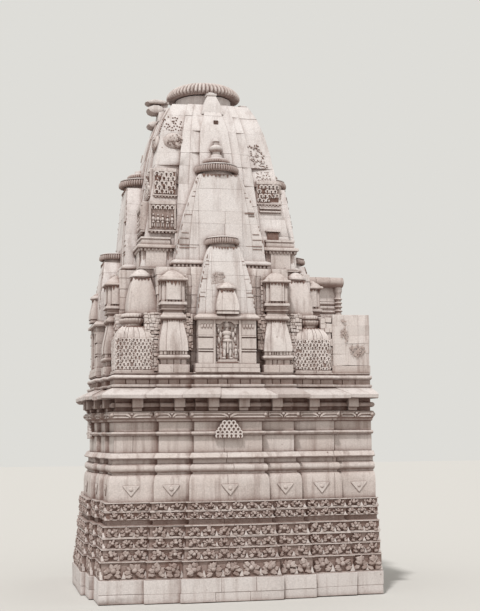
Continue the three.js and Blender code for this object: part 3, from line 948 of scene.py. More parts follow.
def rubble(stone, edges, z0, z1, plane, back, tone, size=0.06):
    """Small rough stones packed into a gap, from a plane back to the wall behind."""
    pick = stone.pick
    start, stop = sorted(edges)
    z = z0
    while z < z1 - size * 0.3:
        top = min(z1, z + size * pick(0.6, 1.3))
        u = start
        while u < stop - size * 0.2:
            end = min(stop, u + size * pick(0.6, 1.6))
            lift = pick(-0.2, 0.2) * size
            front = plane - pick(0.0, 0.03)
            stone.block(u, end, front, back, z + lift, top + lift, edge=0.008, shade=pick(*tone))
            u = end
        z = top


PACKED_GAPS = (
    # near and far edge, bottom, top, plane of the stones, wall behind, tones
    (0.65, 0.86, 4.8, 5.51, -2.17, -2.03, (0.06, 0.4)),
    (0.76, 0.84, 5.53, 6.3, -2.08, -2.03, (0.3, 0.98)),
    (1.26, 1.5, 4.37, 5.1, -2.12, -1.6, (0.5, 0.99)),
    (1.2, 1.6, 5.1, 5.53, -2.08, -1.6, (0.5, 0.99)),
)


def packing_stones():
    """Rubble packed beside the stacks, on every face but the entrance, and beside the porch."""
    stone = Stone("packing")
    for _ in stone.turns((0, 2, 3)):
        for side in (-1, 1):
            for near, far, *gap in PACKED_GAPS:
                rubble(stone, (side * near, side * far), *gap)
    for quarter in stone.turns((0, 2)):
        side = 1 - quarter  # the porch is on the right of the front and on the left of the back
        rubble(stone, (side * 2.0, side * 2.24), 4.37, 5.5, -2.05, -1.5, (0.5, 0.99), size=0.13)
    make_piece("packing_stones", stone, "rough_stone", wear=0.014)


def corner_panel(stone, u, plane, half, z0, z1, carving):
    """One panel of a corner band on a face: a gap with its shade painted dark, a lip with round drops, then
    carving.
    """
    back = plane + 0.2
    lip = half + 0.02
    stone.block(u - half, u + half, plane, back, z0 + 0.07, z1, edge=0.012, shade=0.6)
    stone.block(u - lip, u + lip, plane - 0.035, back, z0 + 0.04, z0 + 0.07, shade=0.8)
    stone.block(u - half, u + half, plane - 0.014, back, z1 - 0.08, z1 - 0.02, shade=0.8)
    # The gap under the lip, painted dark as shade
    stone.block(u - half * 0.9, u + half * 0.9, plane + 0.05, back, z0 - 0.05, z0 + 0.05, shade=0.05)
    for along in centred(7, half * 0.28, u):
        stone.dome(along, z0 + 0.03, half * 0.12, 0.035, plane, 0.03, count=6, shade=0.6)
    carving(stone, u, plane, half, z0 + 0.09, z1 - 0.09)


def carved_net(stone, u, plane, half, z0, z1):
    """A net of arches on a ground painted dark as shade, broken out in places into holes painted dark."""
    pick = stone.pick
    stone.plate(half * 0.9, (z1 - z0) / 2, u, (z0 + z1) / 2, plane)
    stone.net(u, half * 0.92, z0, z1, lambda z: plane, 0.1, 0.04)
    for _ in range(7):
        along, level = u + half * pick(-0.8, 0.8), pick(z0 + 0.03, z1 - 0.03)
        wide, high = pick(0.018, 0.042), pick(0.014, 0.03)
        stone.dome(along, level, wide, high, plane - 0.03, 0.014, **PAINTED_GAP_SHADE)


def small_figure(stone, u, plane, z0, height, shade):
    """A small standing attendant in relief: head, chest and hips, then legs and arms."""
    def part(along, level, half_u, half_z, depth, count):
        place = (u + along * height, z0 + level * height)
        stone.dome(*place, height * half_u, height * half_z, plane, depth, count, shade)

    part(0, 0.88, 0.085, 0.1, 0.045, 8)
    part(0, 0.62, 0.13, 0.18, 0.042, 8)
    part(0, 0.42, 0.12, 0.1, 0.04, 8)
    for side in (-1, 1):
        part(side * 0.06, 0.2, 0.055, 0.22, 0.036, 6)
        part(side * 0.17, 0.58, 0.04, 0.17, 0.032, 6)


def carved_figures(stone, u, plane, half, z0, z1):
    """A row of small attendants under small arches, between two posts."""
    height, middle = z1 - z0, (z0 + z1) / 2
    row = centred(5, half * 0.36, u)
    # The ground between the figures is painted dark as shade
    stone.plate(half * 0.9, height / 2, u, middle, plane, shade=0.08)
    for along in row:
        stone.horseshoe(along, z1 - 0.05, 0.05, 0.026, plane, 0.04, shade=0.97)
    for along in row:
        tall = height * stone.pick(0.56, 0.68)
        small_figure(stone, along, plane, z0 + 0.01, tall, shade=stone.pick(0.5, 0.9))
    for side in (-1, 1):
        stone.plate(0.018, height / 2, u + side * half * 0.94, middle, plane, 0.03, 0.005, 0.5)


def worn_carving(stone, u, half, z0, z1):
    """A few deep holes, dark domes that paint their shade, and lumps, all that is left of a net."""
    for _ in range(26):
        along = u + stone.pick(-0.85, 0.85) * half
        level = stone.pick(z0, z1)
        size = stone.pick(0.01, 0.02)
        if stone.rng.random() < 0.6:
            stone.dome(along, level, size, size * 0.8, band_plane(level), 0.008, **PAINTED_GAP_SHADE)
        else:
            stone.dome(along, level, size * 1.4, size, band_plane(level), 0.016, count=7, shade=0.8)


def round_niche(stone, u, plane, half, z0, z1):
    """A round-headed worn niche, broad as its band."""
    middle, height = (z0 + z1) / 2, z1 - z0
    front = plane - 0.03
    stone.dome(u, middle, half, height / 2, plane, 0.06, count=18, shade=0.55)
    stone.dome(u - half * 0.15, middle + 0.05, half * 0.6, height * 0.3, front, 0.05, count=14, shade=0.6)
    # The darker lump at the lower right is painted shade on the far side of the worn boss
    stone.dome(u + half * 0.3, middle - 0.07, half * 0.45, height * 0.22, front, 0.045, count=12, shade=0.3)
    for _ in range(26):
        angle = stone.pick(0, 2 * math.pi)
        reach = stone.pick(0.2, 0.78)
        size = stone.pick(0.012, 0.03)
        along, level = u + half * reach * math.cos(angle), middle + height * 0.5 * reach * math.sin(angle)
        skin = plane - 0.06 * (1 - reach ** 3) - 0.01
        stone.dome(along, level, size, size, skin, 0.022, count=7, shade=stone.pick(0.04, 0.4))


def pierced_rows(stone, u, half, z0, z1, rows=5):
    """Rows of small piercings in a pale ground, each a dark dome that paints the piercing's shade."""
    pick = stone.pick
    for row in range(rows):
        for place in centred(8 if row % 2 else 7, half * 0.25, u):
            if stone.rng.random() < 0.16:
                continue
            along = place + pick(-0.01, 0.01)
            level = z0 + (z1 - z0) * (row + 0.5) / rows + pick(-0.022, 0.022)
            stone.dome(along, level, 0.017, 0.014, band_plane(level), 0.008, **PAINTED_GAP_SHADE)


ORDINARY_PANELS = (
    # bottom, top, middle and half width along the face, how far it stands out, carving
    (7.19, 7.86, 1.15, 0.27, 0.10, carved_figures),
    (7.95, 8.58, 1.07, 0.235, 0.045, carved_net),
)
REPAIRED_PANELS = ((7.84, 8.39, 1.10, 0.25, 0.02, carved_net),)


def corner_bands(stone):
    """The carving down both sides of each face; one corner was rebuilt nearly plain."""
    for quarter in stone.turns():
        for side in (-1, 1):
            repaired = (quarter, side) in ((0, 1), (1, -1))
            for z0, z1, along, half, out, carving in REPAIRED_PANELS if repaired else ORDINARY_PANELS:
                plane = -spire_half_at((z0 + z1) / 2) - out
                corner_panel(stone, side * along, plane, half, z0, z1, carving)
            if repaired:
                for z in (8.5, 8.7, 8.9, 9.1):
                    worn_carving(stone, side * (3.15 - z / 4), 0.17, z - 0.1, z + 0.1)
            else:
                round_niche(stone, side * 0.84, -spire_half_at(9.2), 0.23, 9.0, 9.38)
                pierced_rows(stone, side * 0.84, 0.2, 9.42, 9.78)


def repaired_foot(stone):
    """Line mouldings and a socket under the rebuilt corner band, on the front; the socket is a dark plate
    that paints its shade.
    """
    for z in (7.71, 7.78):
        plane = -spire_half_at(z)
        stone.block(0.9, 1.36, plane - 0.03, plane + 0.1, z, z + 0.035, shade=0.85)
    plane = -spire_half_at(7.19) - 0.01
    stone.block(1.0, 1.32, plane - 0.03, plane + 0.1, 7.29, 7.32, shade=0.8)
    stone.plate(0.12, 0.08, 1.16, 7.19, plane)


def banded_stack(stone, x, y, profile, share, out, shade):
    """A square stack of (half width, level) pairs with a wide band down each side's middle."""
    rings = [
        [(px + x, py + y, z) for px, py in stepped_square(half - out, [(half * share, out)])]
        for half, z in profile
    ]
    stone.loft(rings, shade=shade)


def pavilion(stone, x, y):
    """A square pavilion at the foot of a corner band, with round drops under its eave."""
    shape = square_at(x, y, 0.34)
    stone.moulding(shape, [(0.03, LARGE_BASE), (0.03, 6.475), (0.01, 6.48), (0.02, 6.49), (0, 6.5)], block=2)
    banded_stack(stone, x, y, [(0.33, 6.5), (0.33, 6.88)], share=0.62, out=0.035, shade=0.7)
    # Dark slots between the posts: painted shade in the gaps
    for u, v in stone.around(x, y):
        for slot in centred(2, 0.5, u):
            stone.plate(0.012, 0.17, slot, 6.69, v - 0.298, shade=0.1)
    stone.moulding(shape, [(0.0, 6.875), (0.04, 6.882), (0.045, 6.91), (0.035, 6.94), (-0.04, 6.96)], block=2)
    roof = [(-0.05, 6.955), (-0.04, 7.0), (-0.05, 7.06), (-0.03, 7.075), (-0.03, 7.11)]
    stone.moulding(shape, [*roof, (-0.14, 7.12), (-0.16, 7.25)], block=2, tone=(0.7, 0.9))
    for u, v in stone.around(x, y):
        for drop in centred(9, 0.075, u):
            stone.dome(drop, 6.85, 0.026, 0.045, v - 0.335, 0.02, count=6)


BAND_TIP = (
    # level, half width, half depth and how far out it sits
    (9.85, 0.24, 0.07, 0.965),
    (10.05, 0.185, 0.08, 0.93),
    (10.2, 0.12, 0.08, 0.885),
    (10.27, 0.085, 0.075, 0.865),
    (10.275, 0.105, 0.09, 0.865),
    (10.315, 0.11, 0.095, 0.865),
    (10.325, 0.07, 0.06, 0.865),
    (10.345, 0.06, 0.05, 0.865),
    (10.355, 0.03, 0.03, 0.865),
)
BROKEN_ROLLS = (
    # level, half height, reach and half depth
    (10.3, 0.055, 1.28, 0.24),
    (10.14, 0.1, 1.25, 0.19),
    (9.8, 0.075, 1.24, 0.15),
)
ROLL_SECTIONS = ((-0.19, 0.55), (-0.17, 0.9), (-0.05, 1.0), (0.09, 1.0), (0.17, 0.85), (0.185, 0.5))
SOCKET_SKINS = 4  # skins of the socket's dark plate, which paints its shade; at one place they shade one another, so that the front's socket stays dark


def band_tip(stone):
    """The middle band of a face ends in a tapering stone with a small cap."""
    rings = [
        [(x, y, z) for x, y in rectangle(half, deep, 0.0, -out)] for z, half, deep, out in BAND_TIP
    ]
    stone.loft(rings, shade=0.95)


def broken_rolls(stone):
    """Rounded stones that stick out at the top of the left side's middle band."""
    stone.quarter = 3
    for z, thick, reach, deep in BROKEN_ROLLS:
        stone.bar(ROLL_SECTIONS, deep - reach, z, deep, thick, 10, 0.55)
        stone.block(-0.13, 0.13, 0.08 - reach, -0.85, z - thick * 0.8, z + thick * 0.5, edge=0.02)
    stone.quarter = 0


def main_spire():
    stone = Stone("main spire")
    look = dict(block=0.65, wander=0.005, tone=(0.84, 0.98), groove=0.002)
    stone.masonry(spire_outline, LARGE_BASE, SHOULDER - 0.01, 0.36, **look)
    for _ in stone.turns():
        band_tip(stone)
    for _ in range(SOCKET_SKINS):
        stone.plate(0.05, 0.05, 0.05, 9.64, -spire_half_at(9.64) * 1.11, edge=0.002)
    broken_rolls(stone)
    make_piece("main_spire_blocks", stone, "pale_stone", "main_spire")

    carved = Stone("corner bands")
    for x, y in ((-1, -1), (-1, 1), (1, 1), (1, -1)):
        pavilion(carved, x * BAND_AXIS, y * BAND_AXIS)
    corner_bands(carved)
    repaired_foot(carved)
    make_piece("corner_band_carving", carved, "carved_stone")


def crown():
    stone = Stone("neck")
    neck = [(0.69, SHOULDER), (0.69, SHOULDER + 0.04), (0.61, SHOULDER + 0.05), (0.6, SHOULDER + 0.1)]
    stone.lathe((0, 0), [*neck, (0.6, CROWN_BOTTOM)], count=48, shade=0.98)
    make_piece("crown_neck_stone", stone, "pale_stone", "crown_neck")
    stone = Stone("crown")
    low, high = CROWN_BOTTOM + 0.006, TOTAL_HEIGHT - 0.008
    stone.ribbed_disc((0, 0), 0.806, low, high, 56, CROWN_RIM, depth=0.075, shade=0.62)
    make_piece("crown_disc_ribs", stone, "carved_stone", "great_crown_disc")


# Half spires

LARGE_AXIS = 1.38
MIDDLE_AXIS = 1.91
LARGE_HEAD = 8.41  # the level of its cap, on the front
MIDDLE_HEAD = 6.85
# Heights of each face's half spires, as shares of the front's
LARGE_SHARES = {"front": 1.0, "entrance": 1.0, "back": 1.0, "left": 0.96}
MIDDLE_SHARES = {"front": 1.0, "entrance": 0.93, "back": 1.0, "left": 0.93}

# Round parts over the half spires, as (radius, level) pairs
LARGE_NECK = ((0.36, 8.35), (0.35, LARGE_HEAD), (0.335, 8.47), (0.31, 8.53))
LARGE_TOP = ((0.43, 8.62), (0.435, 8.635), (0.39, 8.655), (0.2, 8.7))
MIDDLE_NECK = ((0.275, 6.8), (0.27, MIDDLE_HEAD), (0.26, 6.9), (0.24, 6.95))
MIDDLE_TOP = ((0.325, 7.04), (0.335, 7.05), (0.3, 7.07), (0.16, 7.09), (0.06, 7.1))
FINIAL_FOOT = ((0.23, 8.77), (0.22, 8.79), (0.13, 8.82), (0.12, 8.87))
FINIAL = (
    *FINIAL_FOOT, (0.08, 8.9), (0.08, 8.94), (0.12, 8.965), (0.14, 9.0), (0.135, 9.04), (0.1, 9.075),
    (0.05, 9.1), (0.05, 9.15), (0.075, 9.17), (0.07, 9.2), (0.04, 9.24), (0.02, 9.255),
)


def half_spire_outline(half_x, half_y, axis, band, grow):
    """A rectangle about (0, -axis) whose outer side steps out twice, to a middle band."""
    hx, hy = half_x + grow - SKIN, half_y + grow - SKIN
    inner = min(band, 0.86 * hx)
    outer = inner + 0.45 * (hx - inner)
    first, second = hy * 1.03, hy * 1.06
    front = [(-hx, -hy), (-outer, -hy), (-outer, -first), (-inner, -first), (-inner, -second)]
    return [(x, y - axis) for x, y in [*mirrored(front), (hx, hy), (-hx, hy)]]


def half_spire(stone, axis, base, top, foot_size, top_size, bend, height, block, lower):
    """A half spire of jointed blocks that leans in from base to top, but is built from lower up.

    A higher bend keeps it upright for longer. It has ragged notches at its top and worn edges.
    """
    band = foot_size[0] * 0.48

    def sizes(z):
        share = max(0.0, min(1.0, (z - base) / (top - base))) ** bend
        return [foot + (tip - foot) * share for foot, tip in zip(foot_size, top_size)]

    def shape(z, grow):
        return half_spire_outline(*sizes(z), axis, band, grow)

    stone.masonry(shape, lower, top, height, block=block, wander=0.004, tone=(0.62, 0.97), groove=0.002)
    half_x, half_y = sizes(top)
    notches(stone, 0, min(band, 0.86 * half_x), top, 9, -axis - half_y * 1.06, 0.05)
    edge_wear(stone, sizes, axis, max(base, lower) + 0.1, top - 0.05)


def edge_wear(stone, sizes, axis, z0, z1):
    """Dark flaws down the two front edges of a half spire, and short cut lines beside them."""
    pick = stone.pick
    for side, flaws in ((-1, 15), (1, 6)):
        for _ in range(flaws):
            z = pick(z0, z1)
            half_x, half_y = sizes(z)
            wide, high = pick(0.005, 0.014), pick(0.01, 0.045)
            stone.dome(side * (half_x - 0.012), z, wide, high, -axis - half_y, 0.006, count=6, shade=0.0)
        for share in (0.2, 0.27, 0.5, 0.74, 0.8):
            z = z0 + (z1 - z0) * share
            half_x, half_y = sizes(z)
            stone.plate(half_x * pick(0.08, 0.11), 0.004, side * half_x * 0.86, z, -axis - half_y)


def scaled_level(base, share):
    return lambda z: base + (z - base) * share


def round_part(stone, axis, at, profile, **look):
    stone.lathe((0, -axis), [(radius, at(z)) for radius, z in profile], **look)


def ribbed_cap(stone, axis, at, radius, z0, z1, ribs, **look):
    stone.ribbed_disc((0, -axis), radius, at(z0), at(z1), ribs, CAP_RIM, depth=0.08, **look)


def large_half_spire(face, quarter):
    stone = Stone(face + " large", quarter)
    axis = LARGE_AXIS
    at = scaled_level(LARGE_BASE, LARGE_SHARES[face])

    def foot(z, grow):
        return rectangle(0.98 + grow - SKIN, 0.49 + grow - SKIN, 0, -axis)

    stone.moulding(foot, [(0, LARGE_BASE), (0, 6.5), (-0.02, 6.505), (-0.02, 6.525)], block=0.5)
    stone.moulding(foot, [(0.03, 6.53), *roll(0.03, 0.018, 6.53, 6.6), (-0.06, 6.645)], block=0.7)
    for u in centred(25, 0.08):
        stone.block(u - 0.022, u + 0.022, -axis - 0.505, -axis - 0.45, 6.47, 6.525, edge=0.004, shade=0.5)
    foot_size, top_size = (0.93, 0.45), (0.43, 0.335)
    half_spire(stone, axis, at(6.64), at(LARGE_HEAD), foot_size, top_size, 1.5, 0.33, 0.5, at(6.62))
    for side in (-1, 1):
        for z, half_z in ((6.87, 0.006), (6.93, 0.005)):
            stone.plate(0.17, half_z, side * 0.68, at(z), -axis - 0.435, 0.014)
    stone.plate(0.1, 0.008, 0.6, at(7.61), -axis - 0.41, 0.014)
    # The ribbed caps are dark: painted shade on their downward-turned rims
    look = dict(slope=(stone.pick(-0.02, 0.02), 0.012), shade=0.07)
    round_part(stone, axis, at, LARGE_NECK, count=32, shade=0.95)
    ribbed_cap(stone, axis, at, 0.468, 8.485, 8.63, 52, **look)
    round_part(stone, axis, at, LARGE_TOP, shade=0.9)
    ribbed_cap(stone, axis, at, 0.285, 8.69, 8.775, 36, **look)
    finial = FINIAL_FOOT if face in ("left", "entrance") else FINIAL
    round_part(stone, axis, at, finial, count=20, shade=0.6)
    make_piece(f"{face}_large_half_spire_blocks", stone, "pale_stone", f"{face}_large_half_spire")


def middle_half_spire(face, quarter):
    stone = Stone(face + " middle", quarter)
    axis = MIDDLE_AXIS
    at = scaled_level(MIDDLE_BASE, MIDDLE_SHARES[face])
    lower = at(6.55) if face == "entrance" else MIDDLE_BASE - 0.005
    foot_size, top_size = (0.58, 0.40), (0.305, 0.265)
    half_spire(stone, axis, MIDDLE_BASE, at(MIDDLE_HEAD), foot_size, top_size, 1.8, 0.28, 0.42, lower)
    round_part(stone, axis, at, MIDDLE_NECK, count=32, shade=0.95)
    # The ribbed cap is dark: painted shade on its downward-turned rim
    ribbed_cap(stone, axis, at, 0.352, 6.92, 7.05, 42, slope=(0.015, 0.008), shade=0.06)
    round_part(stone, axis, at, MIDDLE_TOP, shade=0.6)
    if face == "front":
        stain(stone, -0.16, 6.18, 0.13, 0.17, -axis - 0.384, 130)
    make_piece(f"{face}_middle_half_spire_blocks", stone, "pale_stone", f"{face}_middle_half_spire")


# Niche with its figure

NICHE_FRONT = 2.37
CORE_FACE = 2.05
NICHE_LOW = 4.52  # bottom and top of the opening and its pilasters
NICHE_HIGH = 5.38
NICHE_PLINTH = (
    # start, end, reach, bottom and top of each block
    (-0.646, -0.215, 0.036, TOWER_BASE, 4.435),
    (-0.213, 0.24, 0.036, TOWER_BASE, 4.435),
    (0.242, 0.646, 0.036, TOWER_BASE, 4.435),
    (-0.64, 0.1, 0.02, 4.435, NICHE_LOW),
    (0.102, 0.64, 0.02, 4.435, NICHE_LOW),
)
PILASTER = (
    # bottom, top and reach of each course
    (NICHE_LOW, 4.74, 0.0),
    (4.74, 4.76, -0.02),
    (4.76, 4.79, 0.012),
    (4.79, 4.81, -0.02),
    (4.81, 5.02, 0.0),
    (5.02, 5.04, -0.02),
    (5.04, 5.07, 0.012),
    (5.07, NICHE_HIGH, 0.0),
)
FIGURE_PARTS = (
    # along, level, half width, half height, depth of each rounded part, from the head down
    (0.0, 0.70, 0.048, 0.062, 0.085),
    (0.0, 0.775, 0.036, 0.036, 0.07),
    (0.0, 0.615, 0.03, 0.03, 0.06),
    (0.0, 0.535, 0.083, 0.065, 0.08),
    (0.0, 0.455, 0.058, 0.07, 0.075),
    (0.008, 0.385, 0.075, 0.05, 0.08),
    (-0.034, 0.285, 0.037, 0.11, 0.07),
    (0.044, 0.285, 0.037, 0.11, 0.07),
    (-0.038, 0.14, 0.028, 0.11, 0.06),
    (0.05, 0.14, 0.028, 0.11, 0.06),
    (-0.046, 0.03, 0.036, 0.022, 0.07),
    (0.062, 0.03, 0.036, 0.022, 0.07),
    # the lower and then the upper pair of arms, and the raised hands
    (-0.098, 0.5, 0.026, 0.075, 0.06),
    (0.098, 0.5, 0.026, 0.075, 0.06),
    (-0.125, 0.39, 0.022, 0.075, 0.06),
    (0.125, 0.41, 0.022, 0.06, 0.06),
    (-0.13, 0.60, 0.022, 0.07, 0.055),
    (0.13, 0.60, 0.022, 0.07, 0.055),
    (-0.145, 0.69, 0.026, 0.034, 0.05),
    (0.145, 0.69, 0.026, 0.034, 0.05),
)


def figure(stone, u, plane, z0):
    """A calm standing guardian with four arms, of common traditional design."""
    for along, level, half_u, half_z, depth in FIGURE_PARTS:
        place = (u + along * 1.3, z0 + level * 0.97)
        stone.dome(*place, half_u * 1.25, half_z, plane, depth, count=12, shade=1.0)
    face_plane = plane - 0.08
    for side in (-1, 1):
        stone.dome(u + side * 0.016, z0 + 0.66, 0.008, 0.004, face_plane, 0.004, count=6, shade=0.4)
        stone.dome(u + side * 0.052, z0 + 0.64, 0.01, 0.025, plane - 0.03, 0.02, count=6)
        small_figure(stone, u + side * 0.185, plane, z0 + 0.005, 0.28, shade=1.0)
    stone.dome(u, z0 + 0.645, 0.007, 0.013, face_plane, 0.01, count=6)
    stone.dome(u, z0 + 0.622, 0.012, 0.004, face_plane, 0.004, count=6, shade=0.4)
    stone.plate(0.09, 0.012, u + 0.005, z0 + 0.365, plane, 0.085, 0.004, 0.5)
    stone.plate(0.016, 0.12, u + 0.005, z0 + 0.24, plane, 0.08, 0.004, 0.5)


def niche_frame(stone, front):
    """The blocks under the opening, and a pilaster with a row of bosses on each side of it."""
    for start, end, out, z0, z1 in NICHE_PLINTH:
        stone.block(start, end, front - out, -CORE_FACE, z0, z1)
    for side in (-1, 1):
        inner, outer = sorted((side * 0.25, side * 0.58))
        for z0, z1, out in PILASTER:
            stone.block(inner, outer, front - out, -CORE_FACE, z0, z1, edge=0.005, shade=0.55)
        low, high = sorted((side * 0.235, side * 0.28))
        stone.block(low, high, front - 0.012, -CORE_FACE, NICHE_LOW, NICHE_HIGH, edge=0.005, shade=0.6)
        for u in centred(4, 0.06, side * 0.42):
            stone.dome(u, 5.25, 0.026, 0.05, front, 0.02, count=7)


def niche_ground(stone, front):
    """The ground behind the figure, worked through with small gaps, dark domes that paint their shade."""
    pick = stone.pick
    stone.block(-0.24, 0.24, front + 0.088, -CORE_FACE, NICHE_LOW, NICHE_HIGH, shade=0.97)
    for row in range(12):
        for column in centred(5, 0.082):
            along = column + pick(-0.02, 0.02)
            level = 4.64 + row * 0.052 + pick(-0.012, 0.012)
            wide, high = pick(0.014, 0.026), pick(0.018, 0.034)
            stone.dome(along, level, wide, high, front + 0.086, 0.012, **PAINTED_GAP_SHADE)


def niche(face, quarter):
    stone = Stone(face + " niche", quarter)
    front = -NICHE_FRONT
    niche_frame(stone, front)
    niche_ground(stone, front)
    stone.block(-0.235, 0.235, front - 0.01, -CORE_FACE, NICHE_LOW, 4.56, shade=0.6)
    # A thin dark strip under the figure: a painted shadow line
    stone.plate(0.215, 0.01, 0.0, 4.54, front - 0.01, 0.003)
    stone.block(-0.2, 0.2, front + 0.01, -CORE_FACE, 4.56, 4.6, shade=0.5)
    arch = [(-0.235, 5.3), (-0.15, 5.28), (-0.09, 5.33), (0.0, 5.35), (0.09, 5.33), (0.15, 5.28)]
    stone.relief([*arch, (0.235, 5.3), (0.235, 5.39), (-0.235, 5.39)], front + 0.08, 0.07)
    figure(stone, 0.0, front + 0.085, 4.6)

    def eave(z, grow):
        return rectangle(0.585 + grow, 0.16 + grow, 0.0, -2.21)

    profile = [(-0.01, 5.375), (0.05, 5.378), (0.06, 5.39), (0.062, 5.425), (0.04, 5.45), (0.0, 5.485)]
    stone.moulding(eave, [*profile, (0.0, 5.495)], block=0.55, groove=0.007, lift=0.003)
    small_spire(stone)
    make_piece(f"{face}_niche_carving", stone, "carved_stone", f"{face}_niche")


def small_spire(stone):
    """The spirelet on the niche's eave."""
    y = -2.23
    foot = [(0.228, 5.49), (0.228, 5.53), (0.215, 5.535), (0.215, 5.555)]
    body = [(0.236, 5.56), (0.232, 5.66), (0.215, 5.76), (0.188, 5.86), (0.155, 5.965)]
    cap = [(0.15, 5.96), (0.175, 5.962), (0.205, 5.985), (0.218, 6.0), (0.216, 6.03), (0.19, 6.05)]
    banded_stack(stone, 0.0, y, foot + body, share=0.5, out=0.008, shade=0.85)
    notches(stone, 0, 0.14, 5.965, 5, y - 0.155, 0.07)
    stone.lathe((0.0, y), cap + [(0.14, 6.075), (0.12, 6.1), (0.07, 6.13), (0.03, 6.145)], shade=0.8)


# Corner and side stacks

BELL_TOP = 5.26
CORNER_STEP = 5.52  # over this level a corner stack stands further in
CORNER_TOP = 6.25
STACK_STEP = 5.53  # where a side stack's spirelet ends and its pavilion begins
STACK_EAVE = 6.145
BELL = (
    # half width, level
    (0.348, 4.405), (0.348, 4.9), (0.345, 5.0), (0.33, 5.09), (0.305, 5.15), (0.265, 5.21),
    (0.225, BELL_TOP),
)


def bell_half_at(z):
    for (r0, z0), (r1, z1) in zip(BELL, BELL[1:]):
        if z0 <= z <= z1:
            return r0 + (r1 - r0) * (z - z0) / (z1 - z0)
    return BELL[-1][0]


def corner_stack(node, quarter):
    """A netted bell with two ribbed discs, and a plain spirelet over it."""
    stone = Stone(node, quarter)
    x = y = -1.8
    shape = square_at(x, y)
    stone.moulding(shape, [(0.38, TOWER_BASE), (0.38, 4.395), (0.355, 4.405)], block=0.5)
    # The bell under the net is painted dark as the shade in its holes
    stone.moulding(shape, BELL[:3], block=2, tone=(0.03, 0.08))
    stone.moulding(shape, BELL[2:], block=0.12, groove=0.005, tone=(0.6, 0.85))
    wide = BELL[0][0]

    def narrowed(z):
        return bell_half_at(z) / wide

    for u, v in stone.around(x, y):
        stone.net(u, wide, 4.41, 5.02, lambda z: v - bell_half_at(z), 0.079, 0.026, narrowed)
        notches(stone, u, 0.22, BELL_TOP, 7, v - 0.222, 0.07, depth=0.02)
    stone.lathe((x, y), [(0.2, 5.24), (0.21, 5.3), (0.2, 5.34)])
    # The cup disc is darker: painted shade on its underside
    stone.ribbed_disc((x, y), 0.262, 5.3, 5.42, 22, CUP_RIM, shade=0.3)
    stone.ribbed_disc((x, y), 0.225, 5.43, 5.525, 20, shade=0.65)

    x = y = -1.6
    stone.masonry(square_at(x, y, 0.295), CORNER_STEP, 5.6, 0.08, block=0.4)
    upper = [(0.285, 5.6), (0.282, 5.72), (0.266, 5.86), (0.242, 5.99), (0.208, 6.12), (0.17, CORNER_TOP)]
    stone.moulding(square_at(x, y), upper, block=2, tone=(0.7, 0.9))
    for u, v in stone.around(x, y):
        notches(stone, u, 0.16, CORNER_TOP, 5, v - 0.17, 0.08, depth=0.02)
    cap = [(0.14, CORNER_TOP), (0.2, 6.255), (0.222, 6.28), (0.222, 6.31), (0.2, 6.34), (0.15, 6.37)]
    stone.lathe((x, y), cap + [(0.12, 6.4), (0.07, 6.43), (0.03, 6.445)], shade=0.8)
    make_piece(f"{node}_carving", stone, "carved_stone", node)


def lower_spirelet(stone, x, y, shape):
    """The lower half of a side stack: a foot, mouldings and a tapering spirelet."""
    stone.masonry(square_at(x, y, 0.3), TOWER_BASE, 4.505, 0.155, block=0.32)
    stone.moulding(shape, [(0.25, 4.505), (0.25, 4.6), (0.27, 4.61)], block=0.12, groove=0.01)
    stone.moulding(shape, [(0.28, 4.61), *roll(0.28, 0.03, 4.615, 4.69), (0.27, 4.695)], block=0.7)
    stone.moulding(shape, [(0.27, 4.7), (0.27, 4.76), (0.285, 4.77)], block=0.06, groove=0.01)
    body = [(0.3, 4.77), (0.298, 4.88), (0.284, 5.0), (0.26, 5.12), (0.235, 5.24), (0.212, 5.34), (0.2, 5.39)]
    banded_stack(stone, x, y, body, share=0.5, out=0.016, shade=0.8)
    fringe(stone, x, y, 0.2, 5.39, 0.06)
    neck = [(0.2, 5.385), (0.235, 5.39), *roll(0.22, 0.032, 5.392, 5.48), (0.2, STACK_STEP)]
    stone.moulding(shape, neck, block=1)


def side_stack(node, quarter, side):
    """A spirelet with a small pavilion over it; the entrance face has the pavilions alone."""
    stone = Stone(node, quarter)
    x, y = side * 1.045, -2.0
    shape = square_at(x, y)
    if FACES[quarter] != "entrance":
        lower_spirelet(stone, x, y, shape)
    # The rings set back under the mouldings get low tones: painted shade under them
    for profile, tone in (
        ([(0.19, STACK_STEP), (0.19, 5.575)], (0.04, 0.1)),
        ([(0.21, 5.57), (0.235, 5.58), (0.24, 5.6), (0.215, 5.612)], (0.3, 0.5)),
        ([(0.2, 5.6), (0.215, 5.61), (0.215, 5.67), (0.2, 5.68)], (0.08, 0.2)),
        ([(0.235, 5.67), (0.262, 5.68), (0.262, 5.72), (0.24, 5.735)], (0.7, 0.9)),
    ):
        stone.moulding(shape, profile, block=1, tone=tone)
    stone.moulding(shape, [(0.23, 5.735), (0.23, 5.775)], block=0.07, groove=0.016, tone=(0.1, 0.5))
    banded_stack(stone, x, y, [(0.25, 5.775), (0.245, 6.15)], share=0.58, out=0.03, shade=0.8)
    fringe(stone, x, y, 0.245, STACK_EAVE, 0.07, share=0.58, out=0.03)
    eave = [(0.24, 6.14), (0.27, STACK_EAVE), *roll(0.265, 0.018, STACK_EAVE, 6.2), (0.235, 6.21)]
    stone.moulding(shape, eave, block=1)
    roof = [(0.235, 6.205), (0.225, 6.23), (0.18, 6.28), (0.16, 6.29), (0.12, 6.33), (0.07, 6.36)]
    stone.moulding(shape, [*roof, (0.03, 6.375)], block=1)
    make_piece(f"{node}_carving", stone, "carved_stone", node)


# Over the porch

BLOCK_HALF = 2.08
BLOCK_TOP = 5.548
STUB_END = 2.85
STUB_HALF = 0.54
COPING_LEVEL = 6.38
COPING_THICK = 0.108  # half its thickness, and the radius of its edges
COPING_AXIS = 0.595  # the axes of its edges


